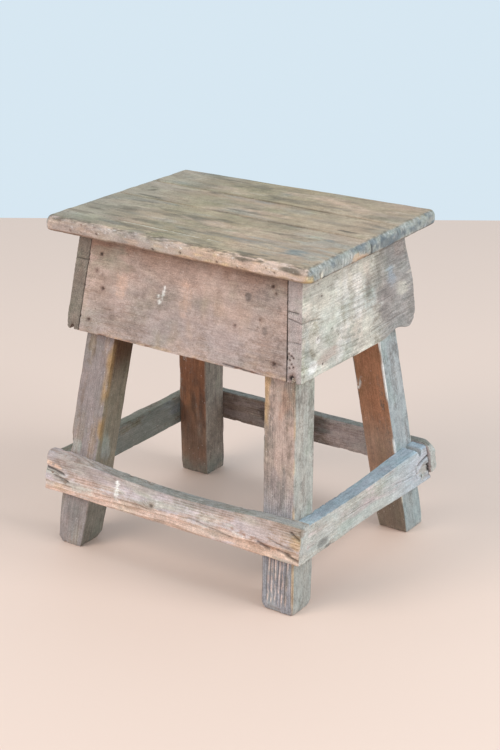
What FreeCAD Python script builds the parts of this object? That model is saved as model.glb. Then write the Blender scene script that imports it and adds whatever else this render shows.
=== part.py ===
"""Splay-legged wooden step stool: a boarded seat on an apron box, four square legs and four stretchers.

Frame: millimetres, +Z up, +X along the seat's long side, -Y is the front. The origin is on the ground under
the middle of the stool. Every upright face leans outwards with the legs, so a face is given by its distance
from the middle plane at seat level, plus a slope.
"""
import FreeCAD
import Part
import os

V = FreeCAD.Vector

# ---- driving dimensions (mm) ----
SEAT_HEIGHT = 450.0
SEAT_CORNERS = [(-203.5, -151.5), (200.0, -151.5), (193.5, 165.0), (-197.5, 143.5)]   # out of square
SEAT_THICKNESS = 21.5
SEAT_CORNER_RADIUS = 9.0
NOSING_TOP_RADIUS = 10.0
NOSING_BOTTOM_RADIUS = 6.0
SEAT_JOINT_FRONT_Y = -10.0
SEAT_JOINT_BACK_Y = 66.0

LEG_FACE_X = 146.8      # outer X face of a leg, from the middle, at seat height
LEG_FACE_Y = 96.4       # outer Y face of a leg, from the middle, at seat height
SPLAY_X = 0.0993        # outward run per millimetre of drop, along X
SPLAY_Y = 0.1560        # the same along Y
LEG_SIZE_X = 46.5
LEG_SIZE_Y = 45.0
LEG_ARRIS = 1.5         # width taken off the legs' long corners
FOOT_WEAR_HEIGHT = 62.0

APRON_THICKNESS = 20.6
APRON_HEIGHT = 130.0
APRON_EDGE_RADIUS = 1.2
GROOVE_WIDTH = 6.0      # groove along the lower edge of the two side aprons
GROOVE_DEPTH = 6.0

STRETCHER_THICKNESS = 17.0
STRETCHER_EDGE_RADIUS = 2.5
SIDE_STRETCHER_THICKNESS = {     # at the front end and at the back end
    "left_stretcher": (21.0, 18.0),
    "right_stretcher": (18.5, 22.5),
}
LONG_STRETCHER_ENDS = {          # X of the upright left and right ends
    "front_stretcher": (-203.5, 203.0),
    "back_stretcher": (-206.0, 207.5),
}

NAIL_HEAD_LENGTH = 6.0
NAIL_HEAD_WIDTH = 4.5
NAIL_HEAD_DEPTH = 1.2
NAIL_SHANK = 2.8
NAIL_LENGTH = 45.0
SIDE_STRETCHER_NAIL_Z = (103.0, 85.0)   # nails that cross inside a leg keep to different heights
CORNER_NAIL_Z = 99.5

# lowest and highest Z of each stretcher
STRETCHER_LEVELS = {
    "front_stretcher": (74.5, 127.0),
    "right_stretcher": (74.5, 126.5),
    "back_stretcher": (82.5, 127.5),
    "left_stretcher": (79.5, 124.0),
}

# upper edges hollowed by feet: (distance along the stretcher from its middle, Z of the edge)
WORN_TOPS = {
    "front_stretcher": [(-230, 127), (-165, 126.5), (-110, 121.5), (-50, 118.5),
                        (15, 117), (75, 118.5), (130, 122), (230, 123)],
    "right_stretcher": [(-180, 119), (-60, 118.5), (20, 119.5), (70, 122), (120, 124.5), (180, 126.5)],
}

# wear of each foot, by which its faces draw in at the ground: outer X, inner X, outer Y, inner Y
FOOT_WEAR = {
    "leg_front_left": (7.0, 3.0, 1.0, 7.0),
    "leg_front_right": (1.0, 4.0, 1.0, 6.0),
    "leg_back_left": (1.0, 1.0, 1.0, 1.5),
    "leg_back_right": (1.5, 1.0, 1.0, 1.0),
}
LEG_SIDES = {
    "leg_front_left": (-1, -1),
    "leg_front_right": (1, -1),
    "leg_back_left": (-1, 1),
    "leg_back_right": (1, 1),
}

SEAT_UNDERSIDE = SEAT_HEIGHT - SEAT_THICKNESS
APRON_BOTTOM = SEAT_UNDERSIDE - APRON_HEIGHT
BEYOND = 300.0          # a distance that clears the whole stool sideways


def leg_x(z):
    """Distance of the legs' outer X faces from the middle at height z."""
    return LEG_FACE_X + SPLAY_X * (SEAT_HEIGHT - z)


def leg_y(z):
    """Distance of the legs' outer Y faces from the middle at height z."""
    return LEG_FACE_Y + SPLAY_Y * (SEAT_HEIGHT - z)


def rectangle(x0, x1, y0, y1, z, arris=0.0):
    """Closed level rectangle at height z, with its corners cut off by `arris`."""
    a = arris
    points = [V(x0 + a, y0, z), V(x1 - a, y0, z), V(x1, y0 + a, z), V(x1, y1 - a, z),
              V(x1 - a, y1, z), V(x0 + a, y1, z), V(x0, y1 - a, z), V(x0, y0 + a, z)]
    if not arris:
        points = points[1::2]
    return Part.makePolygon(points + points[:1])


def leaning_block(sections, arris=0.0):
    """Solid with flat sides through level rectangles, each given as (x0, x1, y0, y1, z)."""
    return Part.makeLoft([rectangle(*section, arris) for section in sections], True, True)


def box(x0, x1, y0, y1, z0, z1):
    """Upright box between two opposite corners."""
    return Part.makeBox(x1 - x0, y1 - y0, z1 - z0, V(x0, y0, z0))


def ease(solid, radius, keep):
    """Round the edges of a solid for which keep(edge) is true."""
    edges = [edge for edge in solid.Edges if keep(edge)]
    return solid.makeFillet(radius, edges)


def runs_along(edge, axis):
    """True where an edge runs mostly along 0 (X), 1 (Y) or 2 (Z)."""
    direction = edge.Vertexes[-1].Point - edge.Vertexes[0].Point
    return abs(direction[axis]) > 0.9 * direction.Length


# ---- seat ----
def seat_slab():
    """The whole seat before it is divided: a slab with rounded corners and a nosed edge."""
    corners = [V(x, y, SEAT_UNDERSIDE) for x, y in SEAT_CORNERS]
    outline = Part.makePolygon(corners + corners[:1])
    slab = Part.Face(outline).extrude(V(0, 0, SEAT_THICKNESS))
    slab = ease(slab, SEAT_CORNER_RADIUS, lambda edge: runs_along(edge, 2))
    slab = ease(slab, NOSING_TOP_RADIUS, lambda edge: edge.BoundBox.ZMin > SEAT_HEIGHT - 0.01)
    return ease(slab, NOSING_BOTTOM_RADIUS, lambda edge: edge.BoundBox.ZMax < SEAT_UNDERSIDE + 0.01)


def seat_boards():
    """Three boards cut from the slab along the two joints."""
    edges = [-BEYOND, SEAT_JOINT_FRONT_Y, SEAT_JOINT_BACK_Y, BEYOND]
    names = ["top_board_front", "top_board_middle", "top_board_back"]
    slab = seat_slab()
    boards = {}
    for name, y0, y1 in zip(names, edges, edges[1:]):
        boards[name] = slab.common(box(-BEYOND, BEYOND, y0, y1, 0, 2 * SEAT_HEIGHT))
    return boards


# ---- legs ----
def leg(name):
    """Square leg that leans outwards both ways, with a worn foot."""
    side_x, side_y = LEG_SIDES[name]
    wear = FOOT_WEAR[name]
    sections = []
    for z, share in ((0.0, 1.0), (FOOT_WEAR_HEIGHT, 0.0), (SEAT_UNDERSIDE, 0.0)):
        outer_x, inner_x, outer_y, inner_y = [share * amount for amount in wear]
        xs = sorted([side_x * (leg_x(z) - outer_x), side_x * (leg_x(z) - LEG_SIZE_X + inner_x)])
        ys = sorted([side_y * (leg_y(z) - outer_y), side_y * (leg_y(z) - LEG_SIZE_Y + inner_y)])
        sections.append((*xs, *ys, z))
    return leaning_block(sections, LEG_ARRIS)


# ---- aprons ----
def long_apron(side_y):
    """Front or back apron: lies on the legs' outer faces, between the two side aprons."""
    sections = []
    for z in (APRON_BOTTOM, SEAT_UNDERSIDE):
        ys = sorted([side_y * leg_y(z), side_y * (leg_y(z) + APRON_THICKNESS)])
        sections.append((-leg_x(z), leg_x(z), *ys, z))
    apron = leaning_block(sections)
    low_edge = APRON_BOTTOM + 1
    return ease(apron, APRON_EDGE_RADIUS, lambda edge: runs_along(edge, 0) and edge.BoundBox.ZMax < low_edge)


def side_apron(side_x):
    """Left or right apron: covers the ends of the long aprons, with a groove along its lower edge."""
    sections = []
    for z in (APRON_BOTTOM, SEAT_UNDERSIDE):
        xs = sorted([side_x * leg_x(z), side_x * (leg_x(z) + APRON_THICKNESS)])
        reach = leg_y(z) + APRON_THICKNESS
        sections.append((*xs, -reach, reach, z))
    apron = leaning_block(sections)
    low_edge = APRON_BOTTOM + 1
    apron = ease(apron, APRON_EDGE_RADIUS, lambda edge: runs_along(edge, 1) and edge.BoundBox.ZMax < low_edge)
    groove = []
    for z in (APRON_BOTTOM - 1, APRON_BOTTOM + GROOVE_DEPTH):
        middle = leg_x(z) + APRON_THICKNESS / 2
        xs = sorted([side_x * (middle - GROOVE_WIDTH / 2), side_x * (middle + GROOVE_WIDTH / 2)])
        groove.append((*xs, -BEYOND, BEYOND, z))
    return apron.cut(leaning_block(groove))


# ---- stretchers ----
def wear_top(block, name, axis):
    """Cut the upper side of a stretcher that runs along axis 0 (X) or 1 (Y) down to its worn line."""
    line = []
    for distance, z in WORN_TOPS[name]:
        line.append(V(distance, -BEYOND, z) if axis == 0 else V(-BEYOND, distance, z))
    curve = Part.BSplineCurve()
    curve.interpolate(line)
    rise = V(0, 0, SEAT_HEIGHT)
    first, last = line[0], line[-1]
    sides = Part.makePolygon([last, last + rise, first + rise, first])
    waste = Part.Face(Part.Wire([curve.toShape(), *sides.Edges]))
    across = V(0, 2 * BEYOND, 0) if axis == 0 else V(2 * BEYOND, 0, 0)
    return block.cut(waste.extrude(across))


def side_thickness(name, y):
    """Thickness of a side stretcher at y; it changes evenly from one leg line to the other."""
    front, back = SIDE_STRETCHER_THICKNESS[name]
    half_span = leg_y(STRETCHER_LEVELS[name][0])
    return front + (back - front) * (y + half_span) / (2 * half_span)


def long_stretcher(name, side_y):
    """Front or back stretcher: on the legs' outer faces, over the ends of the side stretchers."""
    left, right = LONG_STRETCHER_ENDS[name]
    low, high = STRETCHER_LEVELS[name]
    sections = []
    for z in (low, high):
        ys = sorted([side_y * leg_y(z), side_y * (leg_y(z) + STRETCHER_THICKNESS)])
        sections.append((left, right, *ys, z))
    block = leaning_block(sections)
    if name in WORN_TOPS:
        block = wear_top(block, name, 0)
    outer_y = leg_y(high) + STRETCHER_THICKNESS / 2
    return ease(block, STRETCHER_EDGE_RADIUS,
                lambda edge: runs_along(edge, 0) and side_y * edge.CenterOfMass.y > outer_y)


def side_stretcher(name, side_x):
    """Left or right stretcher: on the legs' outer faces, between the long stretchers."""
    low, high = STRETCHER_LEVELS[name]
    outlines = []
    for z in (low, high):
        inner = leg_x(z)
        end = leg_y(z)
        front = inner + side_thickness(name, -end)
        back = inner + side_thickness(name, end)
        corners = [V(side_x * inner, -end, z), V(side_x * front, -end, z),
                   V(side_x * back, end, z), V(side_x * inner, end, z)]
        outlines.append(Part.makePolygon(corners + corners[:1]))
    block = Part.makeLoft(outlines, True, True)
    if name in WORN_TOPS:
        block = wear_top(block, name, 1)
    outer_x = leg_x(high) + min(SIDE_STRETCHER_THICKNESS[name]) / 2
    return ease(block, STRETCHER_EDGE_RADIUS,
                lambda edge: runs_along(edge, 1) and side_x * edge.CenterOfMass.x > outer_x)


# ---- nails ----
def nail(head, inwards, along, length=NAIL_LENGTH):
    """Cut nail from its head centre, driving direction and the head's long way; the head lies level."""
    half_l = NAIL_HEAD_LENGTH / 2
    half_w = NAIL_HEAD_WIDTH / 2
    half_s = NAIL_SHANK / 2
    cap = Part.makeBox(NAIL_HEAD_LENGTH, NAIL_HEAD_WIDTH, NAIL_HEAD_DEPTH, V(-half_l, -half_w, 0))
    shank = Part.makeBox(NAIL_SHANK, NAIL_SHANK, length, V(-half_s, -half_s, 0))
    body = cap.fuse(shank).removeSplitter()
    z_axis = V(*inwards).normalize()
    x_axis = V(*along)
    x_axis = (x_axis - z_axis * x_axis.dot(z_axis)).normalize()
    y_axis = z_axis.cross(x_axis)
    turn = FreeCAD.Matrix(x_axis.x, y_axis.x, z_axis.x, head[0],
                          x_axis.y, y_axis.y, z_axis.y, head[1],
                          x_axis.z, y_axis.z, z_axis.z, head[2],
                          0, 0, 0, 1)
    body.transformShape(turn)
    return body


def face_y_nails(side_y, proud, places):
    """Nails driven square into the front or back face that stands `proud` of the legs, at (x, z) places."""
    inwards = (0, -side_y, -SPLAY_Y)
    return [nail((x, side_y * (leg_y(z) + proud), z), inwards, (1, 0, 0)) for x, z in places]


def face_x_nails(side_x, proud, places):
    """Nails driven into the left or right face that stands proud(y) of the legs, at (y, z) places."""
    inwards = (-side_x, 0, -SPLAY_X)
    return [nail((side_x * (leg_x(z) + proud(y)), y, z), inwards, (0, 1, 0)) for y, z in places]


def seat_nails():
    """Two nails through each board end into each side apron, and two through each outer board between."""
    x = leg_x(SEAT_UNDERSIDE) + APRON_THICKNESS / 2 - 2
    y = leg_y(SEAT_UNDERSIDE) + APRON_THICKNESS / 2 - 3
    groups = {
        "front_board_nails": [(-x, -78), (-x, -30), (x, -84), (x, -28), (-66, -y), (70, -y)],
        "middle_board_nails": [(-x, 26), (x, 2), (x - 3, 48)],
        "back_board_nails": [(-x, 88), (x, 92), (-60, y), (74, y)],
    }
    return {name: [nail((px, py, SEAT_HEIGHT), (0, 0, -1), (1, 0, 0)) for px, py in places]
            for name, places in groups.items()}


def apron_nails():
    """Nails through the aprons into the legs."""
    long_left = [(-130, 402), (-127, 361), (-145, 317)]
    long_right = [(130, 409), (118, 365), (141, 317)]
    back_places = [(-134, 410), (-128, 370), (-142, 330), (131, 412), (126, 372), (143, 332)]
    side_places = [(-82, 394), (-97, 345), (-90, 311), (84, 400), (98, 352), (88, 312)]
    return {
        "front_apron_nails": face_y_nails(-1, APRON_THICKNESS, long_left + long_right),
        "back_apron_nails": face_y_nails(1, APRON_THICKNESS, back_places),
        "left_apron_nails": face_x_nails(-1, lambda y: APRON_THICKNESS, side_places),
        "right_apron_nails": face_x_nails(1, lambda y: APRON_THICKNESS, side_places),
    }


def stretcher_nails():
    """Nails into the legs, and through the long stretchers into the ends of the side ones."""
    groups = {}
    for name, side_y in (("front_stretcher", -1), ("back_stretcher", 1)):
        low = STRETCHER_LEVELS[name][0]
        leg_middle = leg_x(low) - LEG_SIZE_X / 2
        corner = leg_x(CORNER_NAIL_Z) + min(SIDE_STRETCHER_THICKNESS["right_stretcher"]) / 2
        places = []
        for side_x in (-1, 1):
            places.append((side_x * (leg_middle - 10), low + 37.5))
            places.append((side_x * (leg_middle + 7), low + 17.5))
            places.append((side_x * corner, CORNER_NAIL_Z))
        groups[name + "_nails"] = face_y_nails(side_y, STRETCHER_THICKNESS, places)
    upper, lower = SIDE_STRETCHER_NAIL_Z
    leg_middle = leg_y(upper) - LEG_SIZE_Y / 2
    for name, side_x in (("left_stretcher", -1), ("right_stretcher", 1)):
        places = []
        for side_y in (-1, 1):
            places.append((side_y * (leg_middle - 8), upper))
            places.append((side_y * (leg_middle + 7), lower))
        groups[name + "_nails"] = face_x_nails(side_x, lambda y: side_thickness(name, y), places)
    return groups


# ---- assembly ----
boards = seat_boards()
for leg_name in LEG_SIDES:
    boards[leg_name] = leg(leg_name)
boards["front_apron"] = long_apron(-1)
boards["back_apron"] = long_apron(1)
boards["left_apron"] = side_apron(-1)
boards["right_apron"] = side_apron(1)
boards["front_stretcher"] = long_stretcher("front_stretcher", -1)
boards["back_stretcher"] = long_stretcher("back_stretcher", 1)
boards["left_stretcher"] = side_stretcher("left_stretcher", -1)
boards["right_stretcher"] = side_stretcher("right_stretcher", 1)

nails = {**seat_nails(), **apron_nails(), **stretcher_nails()}

# every nail sits in a cavity of its own shape
for board_name, board in boards.items():
    for group in nails.values():
        for one_nail in group:
            if board.BoundBox.intersect(one_nail.BoundBox):
                board = board.cut(one_nail)
    boards[board_name] = board

os.makedirs("parts", exist_ok=True)
for board_name, board in boards.items():
    board.exportStep(f"parts/{board_name}.step")
for group_name, group in nails.items():
    Part.makeCompound(group).exportStep(f"parts/{group_name}.step")
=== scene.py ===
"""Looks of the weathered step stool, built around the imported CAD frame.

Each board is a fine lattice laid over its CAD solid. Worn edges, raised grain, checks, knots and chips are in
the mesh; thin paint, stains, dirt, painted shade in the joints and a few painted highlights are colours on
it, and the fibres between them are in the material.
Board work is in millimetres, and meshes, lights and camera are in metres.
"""
import math

import bpy
import numpy as np
from mathutils import Matrix, Vector


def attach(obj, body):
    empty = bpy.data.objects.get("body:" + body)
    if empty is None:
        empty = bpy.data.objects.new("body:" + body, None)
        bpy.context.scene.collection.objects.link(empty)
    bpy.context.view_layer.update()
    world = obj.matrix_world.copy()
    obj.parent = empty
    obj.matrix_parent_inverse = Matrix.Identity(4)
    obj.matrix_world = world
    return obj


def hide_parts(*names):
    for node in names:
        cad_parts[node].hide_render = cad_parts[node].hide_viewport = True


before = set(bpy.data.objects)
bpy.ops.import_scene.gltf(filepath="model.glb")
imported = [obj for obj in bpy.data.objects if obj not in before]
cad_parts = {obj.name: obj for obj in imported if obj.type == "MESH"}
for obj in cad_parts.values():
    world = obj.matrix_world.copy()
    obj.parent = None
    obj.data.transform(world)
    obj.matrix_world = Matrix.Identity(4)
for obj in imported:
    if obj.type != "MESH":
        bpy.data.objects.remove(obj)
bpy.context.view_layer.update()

METRES = 0.001


# ---------------------------------------------------------------- colours
def shade(red, green, blue):
    """Linear colour of an everyday 0-255 one."""
    values = np.array([red, green, blue]) / 255
    return np.where(values > 0.04045, ((values + 0.055) / 1.055) ** 2.4, values / 12.92)


# seat
SEAT_OLIVE = shade(158, 144, 119)
SEAT_PINK = shade(180, 156, 136)
SEAT_GREY = shade(156, 149, 136)
SEAT_DARK = shade(106, 98, 84)
SEAT_SLATE = shade(124, 124, 119)
NOSING_BARE = shade(214, 182, 160)
NOSING_YELLOW = shade(208, 182, 134)
NOSING_GREY = shade(164, 152, 147)
END_BLUE = shade(98, 107, 113)
END_PALE = shade(146, 150, 146)

# aprons
ROSE = shade(176, 154, 143)
ROSE_GREY = shade(154, 138, 130)
RED_BROWN = shade(158, 118, 96)
BARE_PINK = shade(206, 170, 148)
CREAM = shade(205, 198, 182)
STONE = shade(164, 159, 150)
MOSS = shade(132, 126, 110)
BLUE_GREY = shade(140, 148, 155)

# legs and stretchers
LILAC = shade(163, 150, 147)
SLATE = shade(120, 120, 116)
WALNUT = shade(112, 75, 54)
CHESTNUT = shade(166, 110, 74)
UMBER = shade(84, 66, 50)
TAUPE = shade(146, 129, 116)
HONEY = shade(206, 172, 130)
FAWN = shade(190, 162, 136)
SALMON = shade(216, 184, 164)
PALE_ROSE = shade(206, 182, 170)
TEAL = shade(112, 120, 114)
FOG = shade(163, 165, 159)

CHALK = shade(228, 224, 220)
ROSY_CAST = (1.03, 0.985, 0.97)
MOSSY_CAST = (0.95, 1.0, 0.96)
SOOT = shade(44, 36, 32)
RUST = shade(96, 56, 38)


# ---------------------------------------------------------------- small maths
def ramp(low, high, value):
    """0 at low, 1 at high and smooth between; low may be the larger."""
    share = np.clip((value - low) / (high - low), 0, 1)
    return share * share * (3 - 2 * share)


def mixed(first, second, share):
    """Colours between two, by a share for each point."""
    return first + (second - first) * np.asarray(share)[..., None]


HASH_STEPS = np.array([374761393, 668265263, 2246822519])
HASH_SEED_STEP = 40503001
HASH_STIR = 1274126177


def cell_values(cells, seed):
    """A repeatable value from -1 to 1 for each whole-number point."""
    value = (cells.astype(np.int64) @ HASH_STEPS + seed * HASH_SEED_STEP) & 0xFFFFFFFF
    value = ((value ^ (value >> 13)) * HASH_STIR) & 0xFFFFFFFF
    value ^= value >> 16
    return value / 0x7FFFFFFF - 1


def noise(points, scale, seed):
    """Smooth noise from -1 to 1, whose features are `scale` mm along each axis."""
    spot = points / np.asarray(scale, float)
    cell = np.floor(spot)
    part = spot - cell
    part = part * part * (3 - 2 * part)
    total = np.zeros(len(points))
    for corner in np.ndindex(2, 2, 2):
        weight = np.prod(np.where(corner, part, 1 - part), axis=1)
        total += weight * cell_values(cell + corner, seed)
    return total


def layered(points, scale, seed, octaves=3):
    """Noise with finer and finer detail added."""
    scale = np.asarray(scale, float)
    total = np.zeros(len(points))
    for octave in range(octaves):
        total += noise(points, scale / 2 ** octave, seed + octave) / 2 ** octave
    return total


# ---------------------------------------------------------------- lattice over a block
EDGE_LINES = np.array([0, 0.35, 0.8, 1.4, 2.1, 2.9, 3.8, 4.8, 5.9, 7.1, 8.4])


def grid_lines(length, step):
    """Places along a side, `step` apart and closer towards both ends."""
    near = EDGE_LINES[EDGE_LINES < 0.42 * length]
    gap = length - 2 * near[-1]
    inner = np.linspace(near[-1], length - near[-1], 1 + max(1, round(gap / step)))[1:-1]
    return np.concatenate([near, inner, length - near[::-1]])


def skin(lines):
    """Points and quads over the six sides of a block, from its grid lines along each axis."""
    counts = [len(line) for line in lines]
    outside = np.ones(counts, bool)
    outside[1:-1, 1:-1, 1:-1] = False
    index = np.zeros(counts, int)
    index[outside] = np.arange(outside.sum())
    grid = np.argwhere(outside)
    places = np.stack([line[grid[:, axis]] for axis, line in enumerate(lines)], axis=1)
    quads = []
    for axis in range(3):
        for end in (0, -1):
            sheet = np.take(index, end, axis)
            if axis == 1:
                sheet = sheet.T
            around = [sheet[:-1, :-1], sheet[1:, :-1], sheet[1:, 1:], sheet[:-1, 1:]]
            if end == 0:
                around.reverse()
            quads.append(np.stack(around, axis=-1).reshape(-1, 4))
    return places, np.concatenate(quads)


def round_off(places, size, radii):
    """Moves a block's points on to rounded edges; radii are per point and axis, 0 for none."""
    flat = np.clip(places, radii, size - radii)
    away = places - flat
    share = np.abs(away) / np.maximum(radii, 1e-6)
    length = np.maximum(np.linalg.norm(share, axis=1), 1e-9)
    return flat + away * (share.max(axis=1) / length)[:, None]


def between(corners, share):
    """Places inside a block with eight given corners, from shares of its three sides."""
    total = np.zeros_like(share)
    for corner in np.ndindex(2, 2, 2):
        weight = np.prod(np.where(corner, share, 1 - share), axis=1)
        total += weight[:, None] * corners[corner]
    return total


def point_normals(points, quads):
    """Outward direction at each point."""
    facing = np.cross(points[quads[:, 2]] - points[quads[:, 0]], points[quads[:, 3]] - points[quads[:, 1]])
    total = np.zeros_like(points)
    for corner in range(4):
        for axis in range(3):
            total[:, axis] += np.bincount(quads[:, corner], facing[:, axis], len(points))
    return total / np.maximum(np.linalg.norm(total, axis=1), 1e-12)[:, None]


def node_points(node):
    """A CAD node's vertices in mm."""
    return np.array([vertex.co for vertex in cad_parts[node].data.vertices]) / METRES


def block_corners(node, axes, level_top):
    """The eight corners where a CAD board's six main faces meet, in mm. With level_top, a level
    plane through the highest point stands for the face at the end of the second axis."""
    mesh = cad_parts[node].data
    mesh.calc_loop_triangles()
    points = node_points(node)
    triangles = np.array([triangle.vertices for triangle in mesh.loop_triangles])
    first, second, third = (points[triangles[:, corner]] for corner in range(3))
    cross = np.cross(second - first, third - first)
    area = np.linalg.norm(cross, axis=1)
    normals = cross / np.maximum(area, 1e-9)[:, None]
    planes = {}
    for axis, direction in enumerate(axes):
        for end, sign in enumerate((-1, 1)):
            best = np.where(normals @ (sign * direction) > 0.95, area, 0).argmax()
            planes[axis, end] = (normals[best], normals[best] @ first[best])
    if level_top:
        planes[1, 1] = (np.array((0, 0, 1)), points[:, 2].max())
    corners = np.zeros((2, 2, 2, 3))
    for corner in np.ndindex(2, 2, 2):
        meeting = [planes[axis, end] for axis, end in enumerate(corner)]
        corners[corner] = np.linalg.solve([plane[0] for plane in meeting], [plane[1] for plane in meeting])
    return corners


# ---------------------------------------------------------------- boards
class Board:
    """One board's skin, with its shape, wood and colours as values at each point.

    The grain runs along the first axis; the second crosses it on the wide face, the third goes through.
    """

    def __init__(self, node, axes, steps, seed, level_top=False):
        self.node = node
        self.seed = seed
        self.axes = [np.array(axis, float) for axis in axes]
        self.corners = block_corners(node, self.axes, level_top)
        middles = [self.corners.mean(axis=others) for others in ((1, 2), (0, 2), (0, 1))]
        self.size = np.array([np.linalg.norm(ends[1] - ends[0]) for ends in middles])
        lines = [grid_lines(length, step) for length, step in zip(self.size, steps)]
        self.places, self.quads = skin(lines)
        if np.dot(np.cross(self.axes[0], self.axes[1]), self.axes[2]) < 0:
            self.quads = self.quads[:, ::-1]
        gaps = np.minimum(self.places, self.size - self.places)
        self.edge_gap = np.sort(gaps, axis=1)[:, 1]
        self.end_gap = gaps[:, 0]
        self.side = self.places > self.size / 2

    def settle(self):
        """Works out the points in the world, and starts the wood and colour values."""
        self.world = between(self.corners, self.places / self.size)
        self.ready()

    def ready(self):
        """Starts the values at each point."""
        count = len(self.world)
        self.normal = point_normals(self.world, self.quads)
        self.grain = self.places - self.size / 2
        self.depth = np.zeros(count)
        self.ring = np.zeros(count)
        self.knot = np.zeros(count)
        self.line = np.full(count, 0.5)
        self.wood = np.zeros((count, 3))
        self.coat = np.zeros((count, 3))
        self.cover = np.zeros(count)
        self.dirt_and_shade = np.zeros(count)

    def facing(self, side):
        """1 where the skin faces a side such as "-y", falling to 0 round its edges."""
        sign = 1 if side[0] == "+" else -1
        return ramp(0.25, 0.7, sign * self.normal[:, "xyz".index(side[1])])

    def flat(self, side):
        """The two world coordinates that vary over a side, in x, y, z order."""
        return self.world[:, [axis for axis in range(3) if axis != "xyz".index(side[1])]]

    def dye(self, colour, share):
        """Moves the bare wood towards a colour."""
        self.wood = mixed(self.wood, colour, share)

    def add_dirt_and_shade(self, share):
        """Adds dirt, and painted shade in the joints, where there is less of it already."""
        self.dirt_and_shade = np.maximum(self.dirt_and_shade, share)

    def clouds(self, scale, number, octaves=3):
        """Layered noise that belongs to this board; scale is along, across and through the grain."""
        return layered(self.grain, scale, self.seed * 101 + number, octaves)

    def cloudy(self, scale, number, low, high):
        """A share that follows the same noise: 0 at low and 1 at high."""
        return ramp(low, high, self.clouds(scale, number))


def wear_edges(board, radii, end_radius, unevenness=0.35):
    """Rounds a board's long edges and its ends. radii is for the edges at (across, through) ends
    (low, low), (low, high), (high, low), (high, high)."""
    picked = np.choose(board.side[:, 1] * 2 + board.side[:, 2], radii).astype(float)
    wobble = 1 + unevenness * layered(board.places, (35, 9, 9), board.seed * 7 + 3)
    along = np.clip(end_radius * wobble, 0, 0.4 * board.size.min())
    cross = np.clip(picked * wobble, 0, 0.4 * board.size.min())
    board.places = round_off(board.places, board.size, np.stack([along, cross, cross], axis=1))


DEEPEST_WEAR = 12.0             # how far a worn upper edge can lie below its ends


def follow_worn_top(board):
    """Brings a level-topped skin down to the worn upper edge of its CAD solid."""
    points = node_points(board.node)
    low, high = points[:, 2].min(), points[:, 2].max()
    inner = (points - points.mean(axis=0)) @ board.axes[2] < 0
    edge = points[inner & (points[:, 2] > high - DEEPEST_WEAR)]
    run = np.abs(board.axes[0]).argmax()
    edge = edge[edge[:, run].argsort()]
    world = between(board.corners, board.places / board.size)
    line = np.interp(world[:, run], edge[:, run], edge[:, 2])
    board.places[:, 1] *= (line - low) / (high - low)


def swell(board, centre, radius, move):
    """Moves the wood round a point by a vector in mm, fading out with distance."""
    away = np.linalg.norm((board.world - centre) / radius, axis=1)
    board.world += ramp(1.0, 0.0, away)[:, None] * np.array(move, float)


KNOT_STRETCH = 1.35             # how much longer a knot is along the grain than across it
KNOT_SWERVE = 2.2               # how far the rings bend round a knot, in knot radii
KNOT_SETTLING = 0.42            # how soon the bend dies away
RINGS_PAST_PITH = 40            # keeps every board's ring count above zero


def grow(board, pith, spacing, wander, stretch, knots=()):
    """Growth rings round a line that lies `pith` mm across and through from the board's middle.
    Each knot is (along, across, radius) from the board's middle."""
    along, across, through = board.grain.T
    warp = wander * board.clouds((230 * stretch, 60, 60), 11, 2)
    warp += 0.12 * wander * board.clouds((60 * stretch, 16, 16), 12, 2)
    drift = 0.02 * along
    radius = np.hypot(across - pith[0] - drift, through - pith[1]) + warp
    for number, (knot_along, knot_across, size) in enumerate(knots):
        shape = noise(board.grain, (9, 5, 9), board.seed + number) * 0.16
        lengthways = (along - knot_along) / (KNOT_STRETCH * size)
        away = np.hypot(lengthways, (across - knot_across) / size) * (1 + shape)
        outward = np.sign(knot_across - pith[0] + 0.1)
        radius += KNOT_SWERVE * size * np.exp(-KNOT_SETTLING * away ** 2) * outward
        inside = ramp(1.15, 0.85, away)
        radius = radius * (1 - inside) + inside * away * size * 0.9
        board.knot = np.maximum(board.knot, ramp(1.25, 0.8, away))
    board.ring = radius / spacing + RINGS_PAST_PITH


def late_wood(ring):
    """1 on the hard dark line that ends each growth ring, 0 on the soft wood."""
    share = ring - np.floor(ring)
    return ramp(0.45, 0.88, share) * ramp(1.0, 0.94, share)


def weather(board, relief, erosion):
    """Soft wood worn below the hard rings, shallow hollows, and ends worn more than faces."""
    end_grain = np.abs(board.normal @ board.axes[0])
    soft = 1 - late_wood(board.ring)
    board.depth += relief * soft * (1 - 0.6 * end_grain)
    hollows = board.clouds((70, 18, 18), 21)
    board.depth += erosion * ramp(0.1, 1.2, hollows)
    board.depth += 0.35 * erosion * ramp(0.2, 1.1, board.clouds((14, 2.4, 2.4), 22, 2))
    board.depth += 0.5 * erosion * end_grain * (0.5 + 0.5 * board.clouds((6, 3, 3), 23))
    board.line *= 1 - 0.4 * end_grain


def nibble(board, amount, reach=3.0, scale=(16, 7, 7)):
    """Small chips and dents along the edges."""
    close = ramp(reach, 0, board.edge_gap)
    bite = board.cloudy(scale, 31, 0.35, 1.0)
    board.depth += amount * close * bite
    board.cover *= 1 - 0.8 * close * bite


# ---------------------------------------------------------------- marks on a side
def tint(board, colour, share):
    """Moves wood and coat towards a colour."""
    share = np.clip(share, 0, 1)
    board.coat = mixed(board.coat, colour, share)
    board.dye(colour, share)


def patch(board, side, centre, reach, ragged, seed):
    """Share from 0 to 1 of a soft-edged patch on a side."""
    offset = (board.flat(side) - centre) / reach
    blur = ragged * board.clouds((26, 8, 8), 41 + seed)
    return ramp(1.0, 0.35, np.linalg.norm(offset, axis=1) + blur) * board.facing(side)


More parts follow.
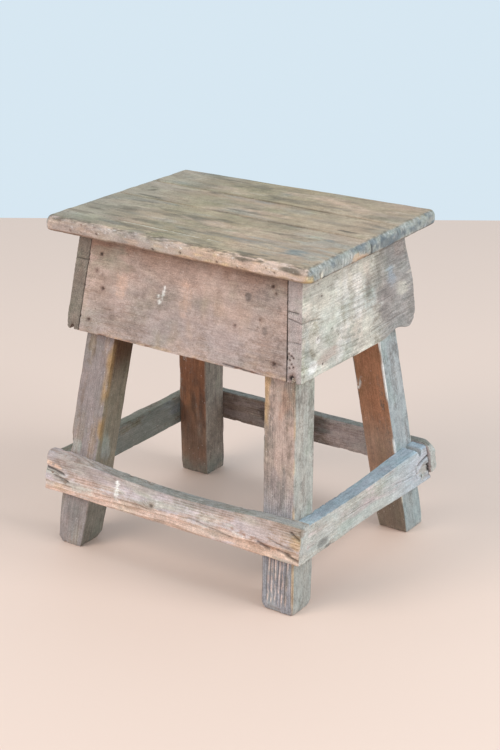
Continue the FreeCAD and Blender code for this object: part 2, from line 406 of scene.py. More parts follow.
def trail(board, side, start, end, width, wiggle, seed):
    """Share from 0 to 1 of a thin line on a side, tapered to nothing at its ends."""
    start = np.array(start, float)
    run = np.array(end, float) - start
    length = np.linalg.norm(run)
    offset = board.flat(side) - start
    share = offset @ run / length ** 2
    across = (offset[:, 0] * run[1] - offset[:, 1] * run[0]) / length
    across += wiggle * board.clouds((22, 22, 22), 51 + seed, 2)
    taper = ramp(0, 0.12, share) * ramp(1, 0.8, share)
    wide = width * (0.35 + 0.65 * taper)
    return np.exp(-(across / wide) ** 2) * (taper > 0) * np.minimum(1, taper * 2) * board.facing(side)


def stain(board, side, centre, reach, colour, strength, ragged, seed=0):
    """A soft-edged patch of colour."""
    tint(board, colour, strength * patch(board, side, centre, reach, ragged, seed))


def crack(board, side, start, end, width, depth, dark, wiggle=1.0, seed=0):
    """A dark open line, sunk into the wood."""
    line = trail(board, side, start, end, width, wiggle, seed)
    board.depth += depth * line
    board.add_dirt_and_shade(dark * line)


def scrape(board, side, start, end, width, colour, strength, seed=0):
    """A ragged line of colour."""
    line = trail(board, side, start, end, width, 0.5, seed)
    ragged = ramp(-0.5, 0.2, board.clouds((5, 2, 2), 61 + seed, 2))
    tint(board, colour, strength * line * ragged)


HALO_REACH = 3.2                # of the rust round a hole, in hole radii
HALO_STRENGTH = 0.4


def hole(board, side, centre, radius, depth, dark, halo=RUST):
    """A sunk nail or worm hole, with a stain round it."""
    away = np.linalg.norm(board.flat(side) - centre, axis=1)
    away *= 1 + 0.2 * board.clouds((4, 4, 4), 71, 1)
    inside = ramp(1.3 * radius, 0.7 * radius, away) * board.facing(side)
    board.depth += depth * inside
    board.add_dirt_and_shade(dark * inside)
    tint(board, halo, HALO_STRENGTH * ramp(HALO_REACH * radius, radius, away) * board.facing(side))


def marks(board, kind, side, rows):
    """Marks of one kind on a side; each row holds what follows the side in that kind's call."""
    for row in rows:
        kind(board, side, *row)


def chip(board, centre, radius, depth, colour, seed=0):
    """A splinter lost from an edge or corner."""
    away = np.linalg.norm((board.world - centre) / radius, axis=1)
    away += 0.3 * board.clouds((12, 4, 4), 81 + seed)
    inside = ramp(1.0, 0.3, away)
    board.depth += depth * inside
    if colour is not None:
        tint(board, colour, 0.8 * inside)


# ---------------------------------------------------------------- mesh and material
def add_values(mesh, board):
    """Puts a board's values on its mesh."""
    numbers = {"ring": board.ring, "line": board.line, "knot": board.knot,
               "cover": board.cover, "dirt_and_shade": board.dirt_and_shade}
    for name, values in numbers.items():
        mesh.attributes.new(name, "FLOAT", "POINT").data.foreach_set("value", values.astype(np.float32))
    vectors = {"grain": board.grain, "wood": board.wood, "coat": board.coat}
    for name, values in vectors.items():
        layer = mesh.attributes.new(name, "FLOAT_VECTOR", "POINT")
        layer.data.foreach_set("vector", values.astype(np.float32).ravel())


def quad_mesh(name, points, quads):
    """A smooth-shaded mesh of quads, from points in mm."""
    mesh = bpy.data.meshes.new(name)
    mesh.vertices.add(len(points))
    mesh.vertices.foreach_set("co", (points * METRES).ravel())
    mesh.loops.add(quads.size)
    mesh.loops.foreach_set("vertex_index", quads.ravel())
    mesh.polygons.add(len(quads))
    mesh.polygons.foreach_set("loop_start", np.arange(0, quads.size, 4))
    mesh.polygons.foreach_set("use_smooth", np.ones(len(quads), bool))
    mesh.update()
    mesh.validate()
    return mesh


def place_piece(mesh, node, material):
    """Shows a mesh in place of a CAD node."""
    mesh.materials.append(material)
    piece = bpy.data.objects.new(mesh.name, mesh)
    bpy.context.scene.collection.objects.link(piece)
    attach(piece, "root")
    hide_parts(node)


def make_board(board, material):
    """Sinks the skin by its depth, inside the CAD solid's box, and makes it the piece for its node."""
    sunk = board.world - board.normal * np.clip(board.depth, 0, None)[:, None]
    solid = node_points(board.node)
    sunk = np.clip(sunk, solid.min(axis=0), solid.max(axis=0))
    mesh = quad_mesh(board.node + "_wood", sunk, board.quads)
    add_values(mesh, board)
    place_piece(mesh, board.node, material)


class Nodes:
    """Short calls that build a material's node tree."""

    def __init__(self, name):
        self.material = bpy.data.materials.new(name)
        self.material.use_nodes = True
        self.tree = self.material.node_tree
        self.shader = self.tree.nodes["Principled BSDF"]

    def add(self, kind, settings=None, **inputs):
        node = self.tree.nodes.new(kind)
        for name, value in (settings or {}).items():
            setattr(node, name, value)
        for name, value in inputs.items():
            self.feed(node.inputs[name.replace("_", " ")], value)
        return node

    def feed(self, socket, value):
        if isinstance(value, bpy.types.NodeSocket):
            self.tree.links.new(value, socket)
        else:
            socket.default_value = value

    def value(self, name):
        return self.add("ShaderNodeAttribute", {"attribute_name": name}).outputs["Fac"]

    def vector(self, name):
        return self.add("ShaderNodeAttribute", {"attribute_name": name}).outputs["Vector"]

    def math(self, operation, first, second=0.0, clamp=False):
        node = self.add("ShaderNodeMath", {"operation": operation, "use_clamp": clamp})
        for socket, value in zip(node.inputs, (first, second)):
            self.feed(socket, value)
        return node.outputs[0]

    def span(self, value, low, high, new_low=0.0, new_high=1.0):
        """Maps a range to another one smoothly."""
        node = self.add("ShaderNodeMapRange", {"interpolation_type": "SMOOTHSTEP"})
        for name, part in (("Value", value), ("From Min", low), ("From Max", high),
                           ("To Min", new_low), ("To Max", new_high)):
            self.feed(node.inputs[name], part)
        return node.outputs["Result"]

    def scaled(self, vector, factors):
        node = self.add("ShaderNodeVectorMath", {"operation": "MULTIPLY"})
        self.feed(node.inputs[0], vector)
        node.inputs[1].default_value = factors
        return node.outputs["Vector"]

    def noise(self, vector, factors, detail, roughness=0.6):
        node = self.add("ShaderNodeTexNoise", Vector=self.scaled(vector, factors), Scale=1.0,
                        Detail=detail, Roughness=roughness)
        return node.outputs["Fac"]

    def spots(self, vector, factors, reach):
        """1 in small scattered spots, in about a third of the cells."""
        node = self.add("ShaderNodeTexVoronoi", Vector=self.scaled(vector, factors), Scale=1.0)
        chosen = self.math("GREATER_THAN", self.math("FRACT", self.math(
            "MULTIPLY", node.outputs["Color"], 7.3)), 0.66)
        return self.math("MULTIPLY", self.span(node.outputs["Distance"], reach, reach * 0.5), chosen)

    def mix(self, first, second, share, blend="MIX"):
        node = self.add("ShaderNodeMix", {"data_type": "RGBA", "blend_type": blend, "clamp_factor": True})
        self.feed(node.inputs["Factor"], share)
        self.feed(node.inputs[6], first)
        self.feed(node.inputs[7], second)
        return node.outputs[2]


def opaque(colour):
    return (*[float(part) for part in colour], 1.0)


WOOD_FIBRES = 0.4
WOOD_ROUGHNESS = 0.8
WOOD_SHEEN = 0.3
RELIEF = 0.7                    # strength of the bump on wood and iron
WOOD_RELIEF_DEPTH = 0.0007      # in metres, as the next
IRON_RELIEF_DEPTH = 0.0003


def weathered_wood(name, late_tone, streaks, flaking, specks, flecks):
    """Grey weathered wood with the remains of a thin coat. late_tone multiplies the hard rings' colour."""
    nodes = Nodes(name)
    grain = nodes.vector("grain")
    streak = nodes.noise(grain, (0.03, 0.7, 0.7), 4)
    fibre = nodes.noise(grain, (0.16, 3.0, 3.0), 3)
    blotch = nodes.noise(grain, (0.026, 0.05, 0.05), 4, 0.65)
    hue = nodes.noise(grain, (0.02, 0.034, 0.034), 3)
    mottle = nodes.noise(grain, (0.11, 0.15, 0.15), 5, 0.72)
    crumb = nodes.noise(grain, (0.5, 0.75, 0.75), 4, 0.75)

    share = nodes.math("FRACT", nodes.value("ring"))
    late = nodes.math("MULTIPLY", nodes.span(share, 0.35, 0.86), nodes.span(share, 1.0, 0.93))
    late_share = nodes.math("MULTIPLY", late, nodes.value("line"))

    brightness = nodes.span(streak, 0.3, 0.7, 1 - 0.3 * streaks, 1 + 0.3 * streaks)
    for pattern, spread in ((blotch, 0.13), (mottle, 0.16), (crumb, 0.26)):
        brightness = nodes.math("MULTIPLY", brightness, nodes.span(pattern, 0.3, 0.7, 1 - spread, 1 + spread))
    grey = nodes.add("ShaderNodeCombineColor", Red=brightness, Green=brightness, Blue=brightness)
    wood = nodes.mix(nodes.vector("wood"), grey.outputs["Color"], 1.0, "MULTIPLY")
    ringed = nodes.mix(wood, opaque(late_tone), 1.0, "MULTIPLY")
    wood = nodes.mix(wood, ringed, late_share)

    softened = nodes.mix(opaque((1, 1, 1)), grey.outputs["Color"], 0.75)
    coat = nodes.mix(nodes.vector("coat"), softened, 1.0, "MULTIPLY")
    loose = nodes.math("MULTIPLY", nodes.math("SUBTRACT", fibre, 0.5), 0.7 * flaking)
    blotchy = nodes.math("MULTIPLY", nodes.math("SUBTRACT", mottle, 0.5), 1.9 * flaking)
    loose = nodes.math("ADD", loose, blotchy)
    loose = nodes.math("SUBTRACT", loose, nodes.math("MULTIPLY", late_share, 0.25 * flaking))
    kept = nodes.span(nodes.math("ADD", nodes.value("cover"), loose), 0.28, 0.66)
    colour = nodes.mix(wood, coat, kept)
    colour = nodes.mix(colour, opaque(ROSY_CAST), nodes.span(hue, 0.46, 0.68), "MULTIPLY")
    colour = nodes.mix(colour, opaque(MOSSY_CAST), nodes.span(hue, 0.5, 0.3), "MULTIPLY")

    pale = nodes.math("MULTIPLY", nodes.spots(grain, (0.14, 0.2, 0.2), 0.15), flecks)
    colour = nodes.mix(colour, opaque(CHALK), pale)
    dark = nodes.math("MULTIPLY", nodes.spots(grain, (0.07, 0.12, 0.12), 0.11), specks)
    pores = nodes.math("MULTIPLY", nodes.span(fibre, 0.6, 0.76), 0.3 * WOOD_FIBRES)
    dark = nodes.math("MAXIMUM", dark, pores)
    # darkened by dirt in cracks and holes, and by painted shade in the joints
    dark = nodes.math("MAXIMUM", dark, nodes.value("dirt_and_shade"))
    colour = nodes.mix(colour, opaque(SOOT), dark)

    height = nodes.math("MULTIPLY", fibre, 0.5 * WOOD_FIBRES)
    height = nodes.math("ADD", height, nodes.math("MULTIPLY", streak, 0.4 * streaks))
    height = nodes.math("ADD", height, nodes.math("MULTIPLY", crumb, 0.5))
    height = nodes.math("SUBTRACT", height, nodes.math("MULTIPLY", dark, 0.6))
    bump = nodes.add("ShaderNodeBump", Strength=RELIEF, Distance=WOOD_RELIEF_DEPTH, Height=height)
    gloss = nodes.span(mottle, 0.3, 0.7, WOOD_ROUGHNESS + 0.08, WOOD_ROUGHNESS - 0.1)
    gloss = nodes.math("ADD", gloss, nodes.math("MULTIPLY", dark, 0.12), clamp=True)
    shader = nodes.shader
    nodes.feed(shader.inputs["Base Color"], colour)
    nodes.feed(shader.inputs["Roughness"], gloss)
    nodes.feed(shader.inputs["Normal"], bump.outputs["Normal"])
    shader.inputs["Specular IOR Level"].default_value = WOOD_SHEEN
    return nodes.material


def old_iron(name, paint, painted):
    """Dark rusty nail iron, with the coat of the wood round it over a share of it."""
    nodes = Nodes(name)
    place = nodes.add("ShaderNodeTexCoord").outputs["Object"]
    blotch = nodes.noise(place, (700, 700, 700), 4)
    crust = nodes.noise(place, (2600, 2600, 2600), 3)
    colour = nodes.mix(opaque(SOOT), opaque(RUST), nodes.span(blotch, 0.42, 0.62))
    kept = nodes.span(nodes.math("ADD", crust, painted), 0.95, 1.1)
    colour = nodes.mix(colour, opaque(paint), kept)
    nodes.feed(nodes.shader.inputs["Base Color"], colour)
    nodes.feed(nodes.shader.inputs["Roughness"], nodes.span(crust, 0.3, 0.7, 0.65, 0.9))
    bump = nodes.add("ShaderNodeBump", Strength=RELIEF, Distance=IRON_RELIEF_DEPTH, Height=crust)
    nodes.feed(nodes.shader.inputs["Normal"], bump.outputs["Normal"])
    return nodes.material


# ---------------------------------------------------------------- nails
HEAD_SIZE = np.array([4.4, 4.0, 1.5])
HEAD_ROUND = 1.1
HEAD_SUNK = 0.45
SHANK_WIDTH = (2.6, 0.8)        # under the head and at the tip
SHANK_LENGTH = 43.0


def separate_nails(node):
    """The vertices of each nail of a CAD group, in mm."""
    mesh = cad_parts[node].data
    points = node_points(node).round(2)
    spots, owner = np.unique(points, axis=0, return_inverse=True)
    owner = owner.ravel()
    group = np.arange(len(spots))
    mesh.calc_loop_triangles()
    triangles = owner[np.array([triangle.vertices for triangle in mesh.loop_triangles])]
    settled = False
    while not settled:
        lowest = group[triangles].min(axis=1)
        before = group.copy()
        for corner in range(3):
            np.minimum.at(group, triangles[:, corner], lowest)
        settled = (before == group).all()
    return [spots[group == number] for number in np.unique(group)]


def nail_frame(points):
    """Head centre, and the directions across the head, up it and out of it."""
    middle = points.mean(axis=0)
    run = np.linalg.svd(points - middle)[2][0]
    share = (points - middle) @ run
    ends = [points[share < share.min() + 0.1], points[share > share.max() - 0.1]]
    spreads = [np.ptp(end, axis=0).sum() for end in ends]
    out = run if spreads[1] > spreads[0] else -run
    head = ends[int(spreads[1] > spreads[0])].mean(axis=0)
    level = np.cross((0, 0, 1), out)
    if np.linalg.norm(level) < 0.3:
        level = np.array([1.0, 0, 0])
    level /= np.linalg.norm(level)
    return head, level, np.cross(out, level), out


def nail_parts(seed):
    """Points and quads of one nail: a hammered head with its top at 0, and a tapering shank below."""
    steps = [np.linspace(0, length, count) for length, count in zip(HEAD_SIZE, (9, 9, 5))]
    head, quads = skin(steps)
    head = round_off(head, HEAD_SIZE, np.full_like(head, HEAD_ROUND) * (1, 1, 0.6))
    head -= HEAD_SIZE * (0.5, 0.5, 1)
    dents = layered(head + 40 * seed, (1.6, 1.6, 1.6), seed)
    head[:, :2] *= 1 + 0.1 * dents[:, None]
    head[:, 2] -= 0.15 + 0.12 * dents * (head[:, 2] > -0.5)
    shank, shank_quads = skin([np.linspace(-0.5, 0.5, 3), np.linspace(-0.5, 0.5, 3), np.linspace(-1, 0, 9)])
    width = SHANK_WIDTH[1] + (SHANK_WIDTH[0] - SHANK_WIDTH[1]) * (1 + shank[:, 2])
    shank[:, :2] *= width[:, None]
    shank[:, 2] = shank[:, 2] * SHANK_LENGTH - 1
    return np.concatenate([head, shank]), np.concatenate([quads, shank_quads + len(head)])


def make_nails(node, material):
    """One piece for a group of nails, in place of its CAD node."""
    points, quads = [], []
    start = 0
    for number, one in enumerate(separate_nails(node)):
        head, level, up, out = nail_frame(one)
        local, faces = nail_parts(len(node) + 5 * number)
        points.append(head + local @ np.array([level, up, out]) - HEAD_SUNK * out)
        quads.append(faces + start)
        start += len(local)
    mesh = quad_mesh(node + "_iron", np.concatenate(points), np.concatenate(quads))
    place_piece(mesh, node, material)


# ---------------------------------------------------------------- seat
X, Y, Z = (1, 0, 0), (0, 1, 0), (0, 0, 1)
TOP_STEPS = (2.0, 0.95, 0.95)
NOSING = {"along": 9.0, "outer": 9.0, "top": 10.0, "bottom": 6.0}


def seat_board(node, seed, outer):
    """A seat board with its nosed edges; outer is 0 for the front edge, 1 for the back, None between."""
    board = Board(node, (X, Y, Z), TOP_STEPS, seed)
    count = len(board.places)
    wobble = 1 + 0.12 * layered(board.places, (50, 20, 20), seed * 7 + 3)
    along = NOSING["along"] * wobble
    through = np.where(board.side[:, 2], NOSING["top"], NOSING["bottom"]) * wobble
    across = np.zeros(count)
    if outer is not None:
        across = np.where(board.side[:, 1] == bool(outer), NOSING["outer"], 0) * wobble
    board.places = round_off(board.places, board.size, np.stack([along, across, through], axis=1))
    joint = 0.9 * (1 + 0.5 * layered(board.places, (30, 9, 9), seed * 7 + 4))
    joint = np.where(across > 0, 0, joint)
    board.places = round_off(board.places, board.size, np.stack([0 * joint, joint, joint], axis=1))
    board.settle()
    return board


def seat_colours(board):
    """Olive-grey worn top with pink and slate clouds, barer and rosier on the nosing."""
    x, y, z = board.world.T
    top = board.facing("+z")
    board.line[:] = 0.22
    board.wood = mixed(SEAT_OLIVE * 0.92, SEAT_PINK * 0.95, 0.8 * board.cloudy((80, 30, 30), 1, -0.2, 0.8))
    board.dye(SEAT_GREY, 0.7 * board.cloudy((60, 22, 22), 2, 0.0, 0.9))
    board.dye(SEAT_PINK * (0.96, 0.98, 1.0), 0.5 * ramp(0, 160, x) * top)
    board.dye(SEAT_GREY * 0.92, 0.6 * ramp(-60, -170, x) * top)
    board.coat = mixed(board.wood * 0.86, SEAT_DARK, 0.5 * board.cloudy((60, 14, 14), 3, 0.2, 1.0))
    board.cover = 0.4 + 0.4 * board.clouds((55, 18, 18), 4)
    smears = board.cloudy((42, 10, 10), 5, 0.25, 1.1) * (1.1 - 0.4 * ramp(0, 150, x)) * top
    tint(board, SEAT_DARK, 0.6 * smears)
    tint(board, SEAT_SLATE, 0.5 * board.cloudy((50, 16, 16), 10, 0.3, 1.1) * top)
    # nosed front edge: the coat ends in a ragged line, and rosy wood and old primer show below it
    ragged = 3.0 * board.clouds((9, 3, 3), 11)
    front = ramp(-144, -148.5, y + ragged) * (z < 449.6)
    tint(board, NOSING_BARE * (0.88, 0.9, 0.88), 0.9 * front)
    tint(board, SEAT_PINK, 0.6 * front * board.cloudy((16, 5, 5), 6, -0.1, 0.7))
    tint(board, NOSING_YELLOW, 0.5 * front * board.cloudy((13, 5, 5), 7, 0.2, 0.8) * ramp(-60, 60, x))
    tint(board, NOSING_GREY, 0.8 * front * board.cloudy((20, 6, 6), 8, -0.7, 0.3) * ramp(110, -40, x))
    low_rim = front * ramp(434.5, 431.5, z + 1.5 * board.clouds((14, 5, 5), 18))
    tint(board, RED_BROWN * 0.95, 0.7 * low_rim * ramp(140, 0, x))
    tint(board, LILAC * (0.98, 0.97, 0.9), 0.55 * front * ramp(60, -60, x))
    rosy = board.cloudy((18, 6, 6), 19, -0.6, 0.3)
    tint(board, PALE_ROSE * (0.88, 0.93, 0.97), 0.6 * front * ramp(40, 130, x) * rosy)
    tint(board, CHALK * 0.9, 0.7 * front * board.cloudy((7, 2.6, 2.6), 13, 0.8, 1.1))
    tint(board, RUST, 0.6 * front * board.cloudy((7, 3, 3), 14, 0.7, 1.0))
    seam = ramp(-141, -145.5, y + ragged) * ramp(-150.5, -146.5, y + ragged) * (z > 444)
    tint(board, SEAT_DARK * 0.8, 0.75 * seam * board.cloudy((14, 4, 4), 15, -0.5, 0.3))
    # end-grain edges are cooler and darker, with upright saw and weather marks
    endways = np.abs(board.normal[:, 0])
    ends = ramp(0.25, 0.7, endways)
    tint(board, END_PALE, 0.85 * ends)
    tint(board, END_BLUE, 0.75 * ends * board.cloudy((30, 18, 9), 9, -0.3, 0.5))
    upright = layered(board.world, (9, 1.8, 7), board.seed + 60, 2)
    tint(board, CHALK * 0.8, 0.4 * ends * ramp(0.4, 1.0, upright))
    tint(board, SEAT_DARK * 0.6, 0.45 * ends * ramp(-0.35, -0.9, upright))
    board.depth += 0.35 * ends * ramp(0.2, -0.8, upright)
    rim = ramp(0.05, 0.3, endways) * ramp(0.75, 0.4, endways) * (z > 440)
    tint(board, SEAT_DARK * 0.8, 0.6 * rim * board.cloudy((4, 9, 4), 16, -0.2, 0.6))
    tint(board, UMBER * 1.6, 0.5 * board.facing("-z"))


# open stretches of the two joints in the seat: X from, X to, strength
FRONT_JOINT = ((-190, -60, 0.3), (-46, 46, 0.55), (42, 106, 0.95), (100, 190, 0.3))
BACK_JOINT = ((-190, -90, 0.25), (-88, -20, 0.5), (-30, 112, 0.75), (110, 190, 0.2))


def top_joint(board, y, stretches):
    """The open stretches of a joint, on one of its two boards."""
    for x_from, x_to, strength in stretches:
        width = 0.9 + 0.9 * strength
        crack(board, "+z", (x_from, y), (x_to, y), width, 1.8, min(1, 1.3 * strength), 0.0, x_to)


def seat_front():
    board = seat_board("top_board_front", 3, 0)
    grow(board, (6, -34), 3.6, 5, 1.1, knots=[(-92, 30, 4.0)])
    seat_colours(board)
    weather(board, 0.14, 0.4)
    nibble(board, 1.2, 5.0, (12, 5, 5))
    board.depth += 0.5 * ramp(-143, -149, board.world[:, 1]) * board.cloudy((8, 4, 4), 17, -0.3, 0.9)
    top_joint(board, -10.9, FRONT_JOINT)
    # long shake near the front edge, with a painted highlight along the lifted lip in front of it
    marks(board, crack, "+z", [
        ((-118, -114), (60, -118), 0.9, 1.2, 0.5, 1.6),
        ((55, -114), (192, -111), 0.8, 1.0, 0.4, 1.6, 1),
    ])
    # painted highlight on the lifted lip
    scrape(board, "+z", (-112, -117.5), (60, -121), 1.2, CREAM, 0.75)
    marks(board, stain, "+z", [
        ((158, -106), (60, 24), mixed(SEAT_GREY, SEAT_SLATE, 0.3) * (0.98, 1.05, 1.12), 0.55, 0.8),
        ((158, -56), (44, 22), SEAT_GREY * (1.0, 1.08, 1.16), 0.5, 0.8, 9),
        ((142, -104), (26, 10), SEAT_SLATE * (0.86, 1.0, 1.08), 0.8, 0.6),
        ((157, -41), (15, 6), SEAT_SLATE * 0.85, 0.75, 0.6, 10),
        ((60, -96), (76, 10), SEAT_SLATE, 0.45, 0.8, 1),
        ((-148, -28), (24, 4), SEAT_DARK * 0.9, 0.8, 0.7, 2),
        ((-150, -70), (40, 12), SEAT_DARK, 0.45, 0.8, 3),
        ((-60, -130), (80, 7), SEAT_DARK, 0.5, 0.8, 4),
        ((20, -60), (90, 14), SEAT_PINK, 0.5, 0.8, 5),
        ((-40, -50), (50, 8), SEAT_DARK, 0.4, 0.9, 8),
        ((104, -142), (24, 7), SEAT_DARK * 0.8, 0.8, 0.9, 6),
    ])
    marks(board, stain, "-y", [
        ((104, 446), (24, 3.0), SEAT_DARK * 0.8, 0.8, 0.9, 6),
        ((172, 443.5), (15, 3.5), SEAT_DARK * 0.8, 0.8, 0.7, 7),
    ])
    for x, z in ((-160, 436), (-118, 438), (-30, 434), (12, 437), (66, 435), (96, 433), (150, 437)):
        hole(board, "-y", (x, z), 1.0, 0.9, 0.85)
    marks(board, crack, "+x", [
        ((-130, 441), (-127, 430), 0.9, 1.2, 0.85, 0.6),
        ((-141, 440), (-137, 434), 0.7, 1.0, 0.6, 0.6, 1),
    ])
    marks(board, stain, "+x", [
        ((-126, 435), (6, 8), CREAM, 0.8, 0.7),
        ((-36, 436), (26, 6), FAWN, 0.75, 0.6, 1),
    ])
    chip(board, (198, -30, 430), (7, 26, 7), 2.2, FAWN, 3)
    chip(board, (198, -148, 432), (12, 9, 9), 1.6, NOSING_YELLOW)
    chip(board, (20, -151, 430), (26, 5, 5), 1.4, NOSING_BARE, 1)
    chip(board, (-90, -151, 429), (18, 5, 5), 1.2, None, 2)
    return board


def seat_middle():
    board = seat_board("top_board_middle", 5, None)
    grow(board, (-20, -60), 3.2, 5, 1.1)
    seat_colours(board)
    weather(board, 0.14, 0.4)
    nibble(board, 0.9)
    top_joint(board, -9.1, FRONT_JOINT)
    top_joint(board, 65.1, BACK_JOINT)
    marks(board, stain, "+z", [
        ((152, 6), (15, 4.5), SEAT_DARK * 0.75, 0.85, 0.8),
        ((170, 30), (20, 7), SEAT_DARK * 0.9, 0.75, 0.7, 5),
        ((-60, 30), (80, 14), SEAT_OLIVE * 0.85, 0.6, 0.8, 1),
        ((-155, -2), (28, 4), SEAT_DARK * 0.9, 0.8, 0.6, 2),
        ((30, 20), (60, 10), SEAT_PINK, 0.5, 0.9, 3),
    ])
    stain(board, "+x", (28, 438), (46, 9), END_BLUE * 0.8, 0.7, 0.7, seed=4)
    hole(board, "+z", (-162, 26), 3.2, 0.8, 0.6, SEAT_DARK)
    crack(board, "+x", (-8, 446), (-6, 430), 0.9, 1.6, 0.9, 0.8)
    return board


def seat_back():
    board = seat_board("top_board_back", 8, 1)
    grow(board, (24, -40), 3.0, 5, 1.1, knots=[(-60, 16, 4)])
    seat_colours(board)
    weather(board, 0.14, 0.4)
    nibble(board, 1.1)
    top_joint(board, 66.9, BACK_JOINT)
    marks(board, stain, "+z", [
        ((-66, 118), (60, 14), SEAT_DARK, 0.6, 0.8),
        ((60, 88), (70, 9), SEAT_DARK, 0.4, 0.8, 1),
        ((150, 120), (50, 18), SEAT_OLIVE * 0.85, 0.6, 0.8, 2),
        ((151, 78), (26, 12), mixed(SEAT_OLIVE, SEAT_DARK, 0.6), 0.7, 0.7, 4),
        ((40, 120), (60, 12), SEAT_PINK, 0.6, 0.8, 3),
    ])
    return board


# ---------------------------------------------------------------- aprons
APRON_STEPS = (2.1, 1.0, 0.95)


def apron_front():
    board = Board("front_apron", (X, Z, (0, -1, 0)), APRON_STEPS, 13)
    wear_edges(board, (1.2, 1.6, 0.6, 0.6), 0.7)
    board.settle()
    z = board.world[:, 2]
    grow(board, (30, -90), 4.2, 6, 1.2, knots=[(95.3, 26, 4.5), (123.6, -11, 5.5)])
    board.line[:] = 0.35
    board.wood = mixed(ROSE * 0.96, ROSE_GREY, board.cloudy((60, 40, 40), 1, -0.3, 0.8))
    high = ramp(388, 428, z + 10 * board.clouds((26, 40, 30), 2))
    board.coat = mixed(board.wood * 1.12, LILAC * 1.15, ramp(390, 310, z) * 0.6)
    board.cover = 0.45 + 0.4 * board.clouds((34, 44, 34), 4) + 0.1 * ramp(400, 320, z)
    tint(board, RED_BROWN * 0.95, 0.75 * high)
    tint(board, FAWN * 0.85, 0.35 * ramp(400, 370, z) * board.cloudy((22, 50, 22), 5, 0.1, 0.9))
    marks(board, stain, "-y", [
        ((-96, 368), (9, 24), BARE_PINK, 0.3, 0.6),
        ((2, 370), (9, 24), BARE_PINK, 0.3, 0.6, 1),
        ((-118, 396), (42, 26), MOSS * 1.05, 0.55, 0.6, 2),
        ((-128, 350), (26, 34), TAUPE * 1.05, 0.35, 0.8, 11),
        ((-60, 360), (24, 26), ROSE_GREY * 0.9, 0.4, 0.8, 9),
        ((60, 330), (60, 26), LILAC * 1.05, 0.5, 0.6, 3),
        ((88, 376), (26, 34), ROSE * 1.08, 0.4, 0.7, 10),
    ])
    for number, x_mark in enumerate((-104, -99, 2, 6, 11, -94)):
        top_z = 390 - 4 * (number % 3)
        scrape(board, "-y", (x_mark, top_z), (x_mark + 1, 352), 1.3, BARE_PINK * 1.05, 0.4, seed=number)
    marks(board, scrape, "-y", [
        ((-28, 382), (-34, 357), 1.5, CHALK * 1.1, 1.0, 4),
        ((-38, 369), (-35, 355), 1.7, CHALK * 1.1, 1.0, 5),
    ])
    for number, x_mark in enumerate((-112, -96, -62, -58, 30)):
        scrape(board, "-y", (x_mark - 6, 300.5), (x_mark + 8, 300), 1.6, FAWN * 1.15, 0.9, seed=20 + number)
    scrape(board, "-y", (-29, 372), (-30, 366), 1.2, CHALK, 0.9, seed=6)
    for x_knot, z_knot in ((95.3, 390), (123.6, 353)):
        stain(board, "-y", (x_knot, z_knot), (6.5, 8.5), ROSE_GREY * 0.42, 0.9, 0.15)
        stain(board, "-y", (x_knot, z_knot), (3.4, 4.6), ROSE_GREY * 0.75, 0.7, 0.15)
    for place in ((-131.6, 403), (-126, 360), (-145, 316.6), (130, 408.7), (141, 316.6)):
        hole(board, "-y", place, 2.1, 0.7, 0.8)
    for place in ((-137.7, 381.5), (135, 401), (116, 365.5), (80, 352)):
        hole(board, "-y", place, 1.4, 0.4, 0.55)
    tint(board, ROSE_GREY * 0.8, 0.14)
    low = ramp(306, 300, z + 2.5 * board.clouds((10, 6, 6), 6))
    tint(board, FAWN, 0.6 * low * board.cloudy((22, 8, 8), 7, -0.2, 0.6))
    tint(board, RED_BROWN * 0.8, 0.7 * low * board.cloudy((12, 5, 5), 8, 0.2, 0.8))
    weather(board, 0.12, 0.35)
    nibble(board, 1.4, 3.5, (11, 5, 5))
    marks(board, crack, "-y", [
        ((64, 302), (124, 299), 0.9, 1.6, 0.8),
        ((126, 319), (158, 316), 0.5, 0.8, 0.5, 1.0, 2),
        ((96, 352), (118, 352), 0.5, 0.6, 0.45, 1.0, 3),
    ])
    chip(board, (92, -150, 298), (14, 12, 6), 2.5, RED_BROWN)
    # painted shade in the joints at both ends
    shade_board_ends(board)
    return board


def shade_board_ends(board, reach=1.6, strength=0.8):
    """Painted shade in the joints at a board's ends."""
    board.add_dirt_and_shade(strength * ramp(reach, 0.3, board.end_gap))


def apron_back():
    board = Board("back_apron", (X, Z, Y), APRON_STEPS, 17)
    wear_edges(board, (1.2, 1.6, 0.6, 0.6), 0.7)
    board.settle()
    z = board.world[:, 2]
    grow(board, (-10, -60), 3.8, 6, 1.2, knots=[(-70, 12, 5.5), (60, -30, 4.5)])
    board.wood = mixed(ROSE_GREY, STONE, board.cloudy((80, 40, 40), 1, -0.3, 0.8))
    board.dye(RED_BROWN, 0.6 * ramp(398, 428, z))
    board.coat = mixed(board.wood * 1.1, CREAM, 0.3)
    board.cover = 0.42 + 0.35 * board.clouds((50, 34, 34), 4)
    tint(board, WALNUT, 0.6 * board.knot)
    weather(board, 0.2, 0.4)
    nibble(board, 0.9)
    crack(board, "+y", (-150, 330), (-90, 334), 0.6, 1.2, 0.6)
    # painted shade in the joints at both ends
    shade_board_ends(board)
    return board


GROOVE_WIDTH = 6.0
GROOVE_DEPTH = 6.0
GROOVE_BLEND = 30.0             # how far up an end face its points make room for the groove


def groove(board):
    """Ploughs the groove along a side apron's lower edge, and moves the end faces' points to suit."""
    across, through = board.places[:, 1], board.places[:, 2]
    inside = np.abs(through - board.size[2] / 2) < GROOVE_WIDTH / 2
    lift = GROOVE_DEPTH * np.clip(1 - across / GROOVE_BLEND, 0, 1)
    board.places[:, 1] += np.where(inside, lift, 0)


def apron_side(node, sign, seed):
    board = Board(node, (Y, Z, (sign, 0, 0)), APRON_STEPS, seed)
    wear_edges(board, (1.2, 1.8, 0.6, 0.8), 1.4)
    groove(board)
    board.world = between(board.corners, board.places / board.size)
    return board


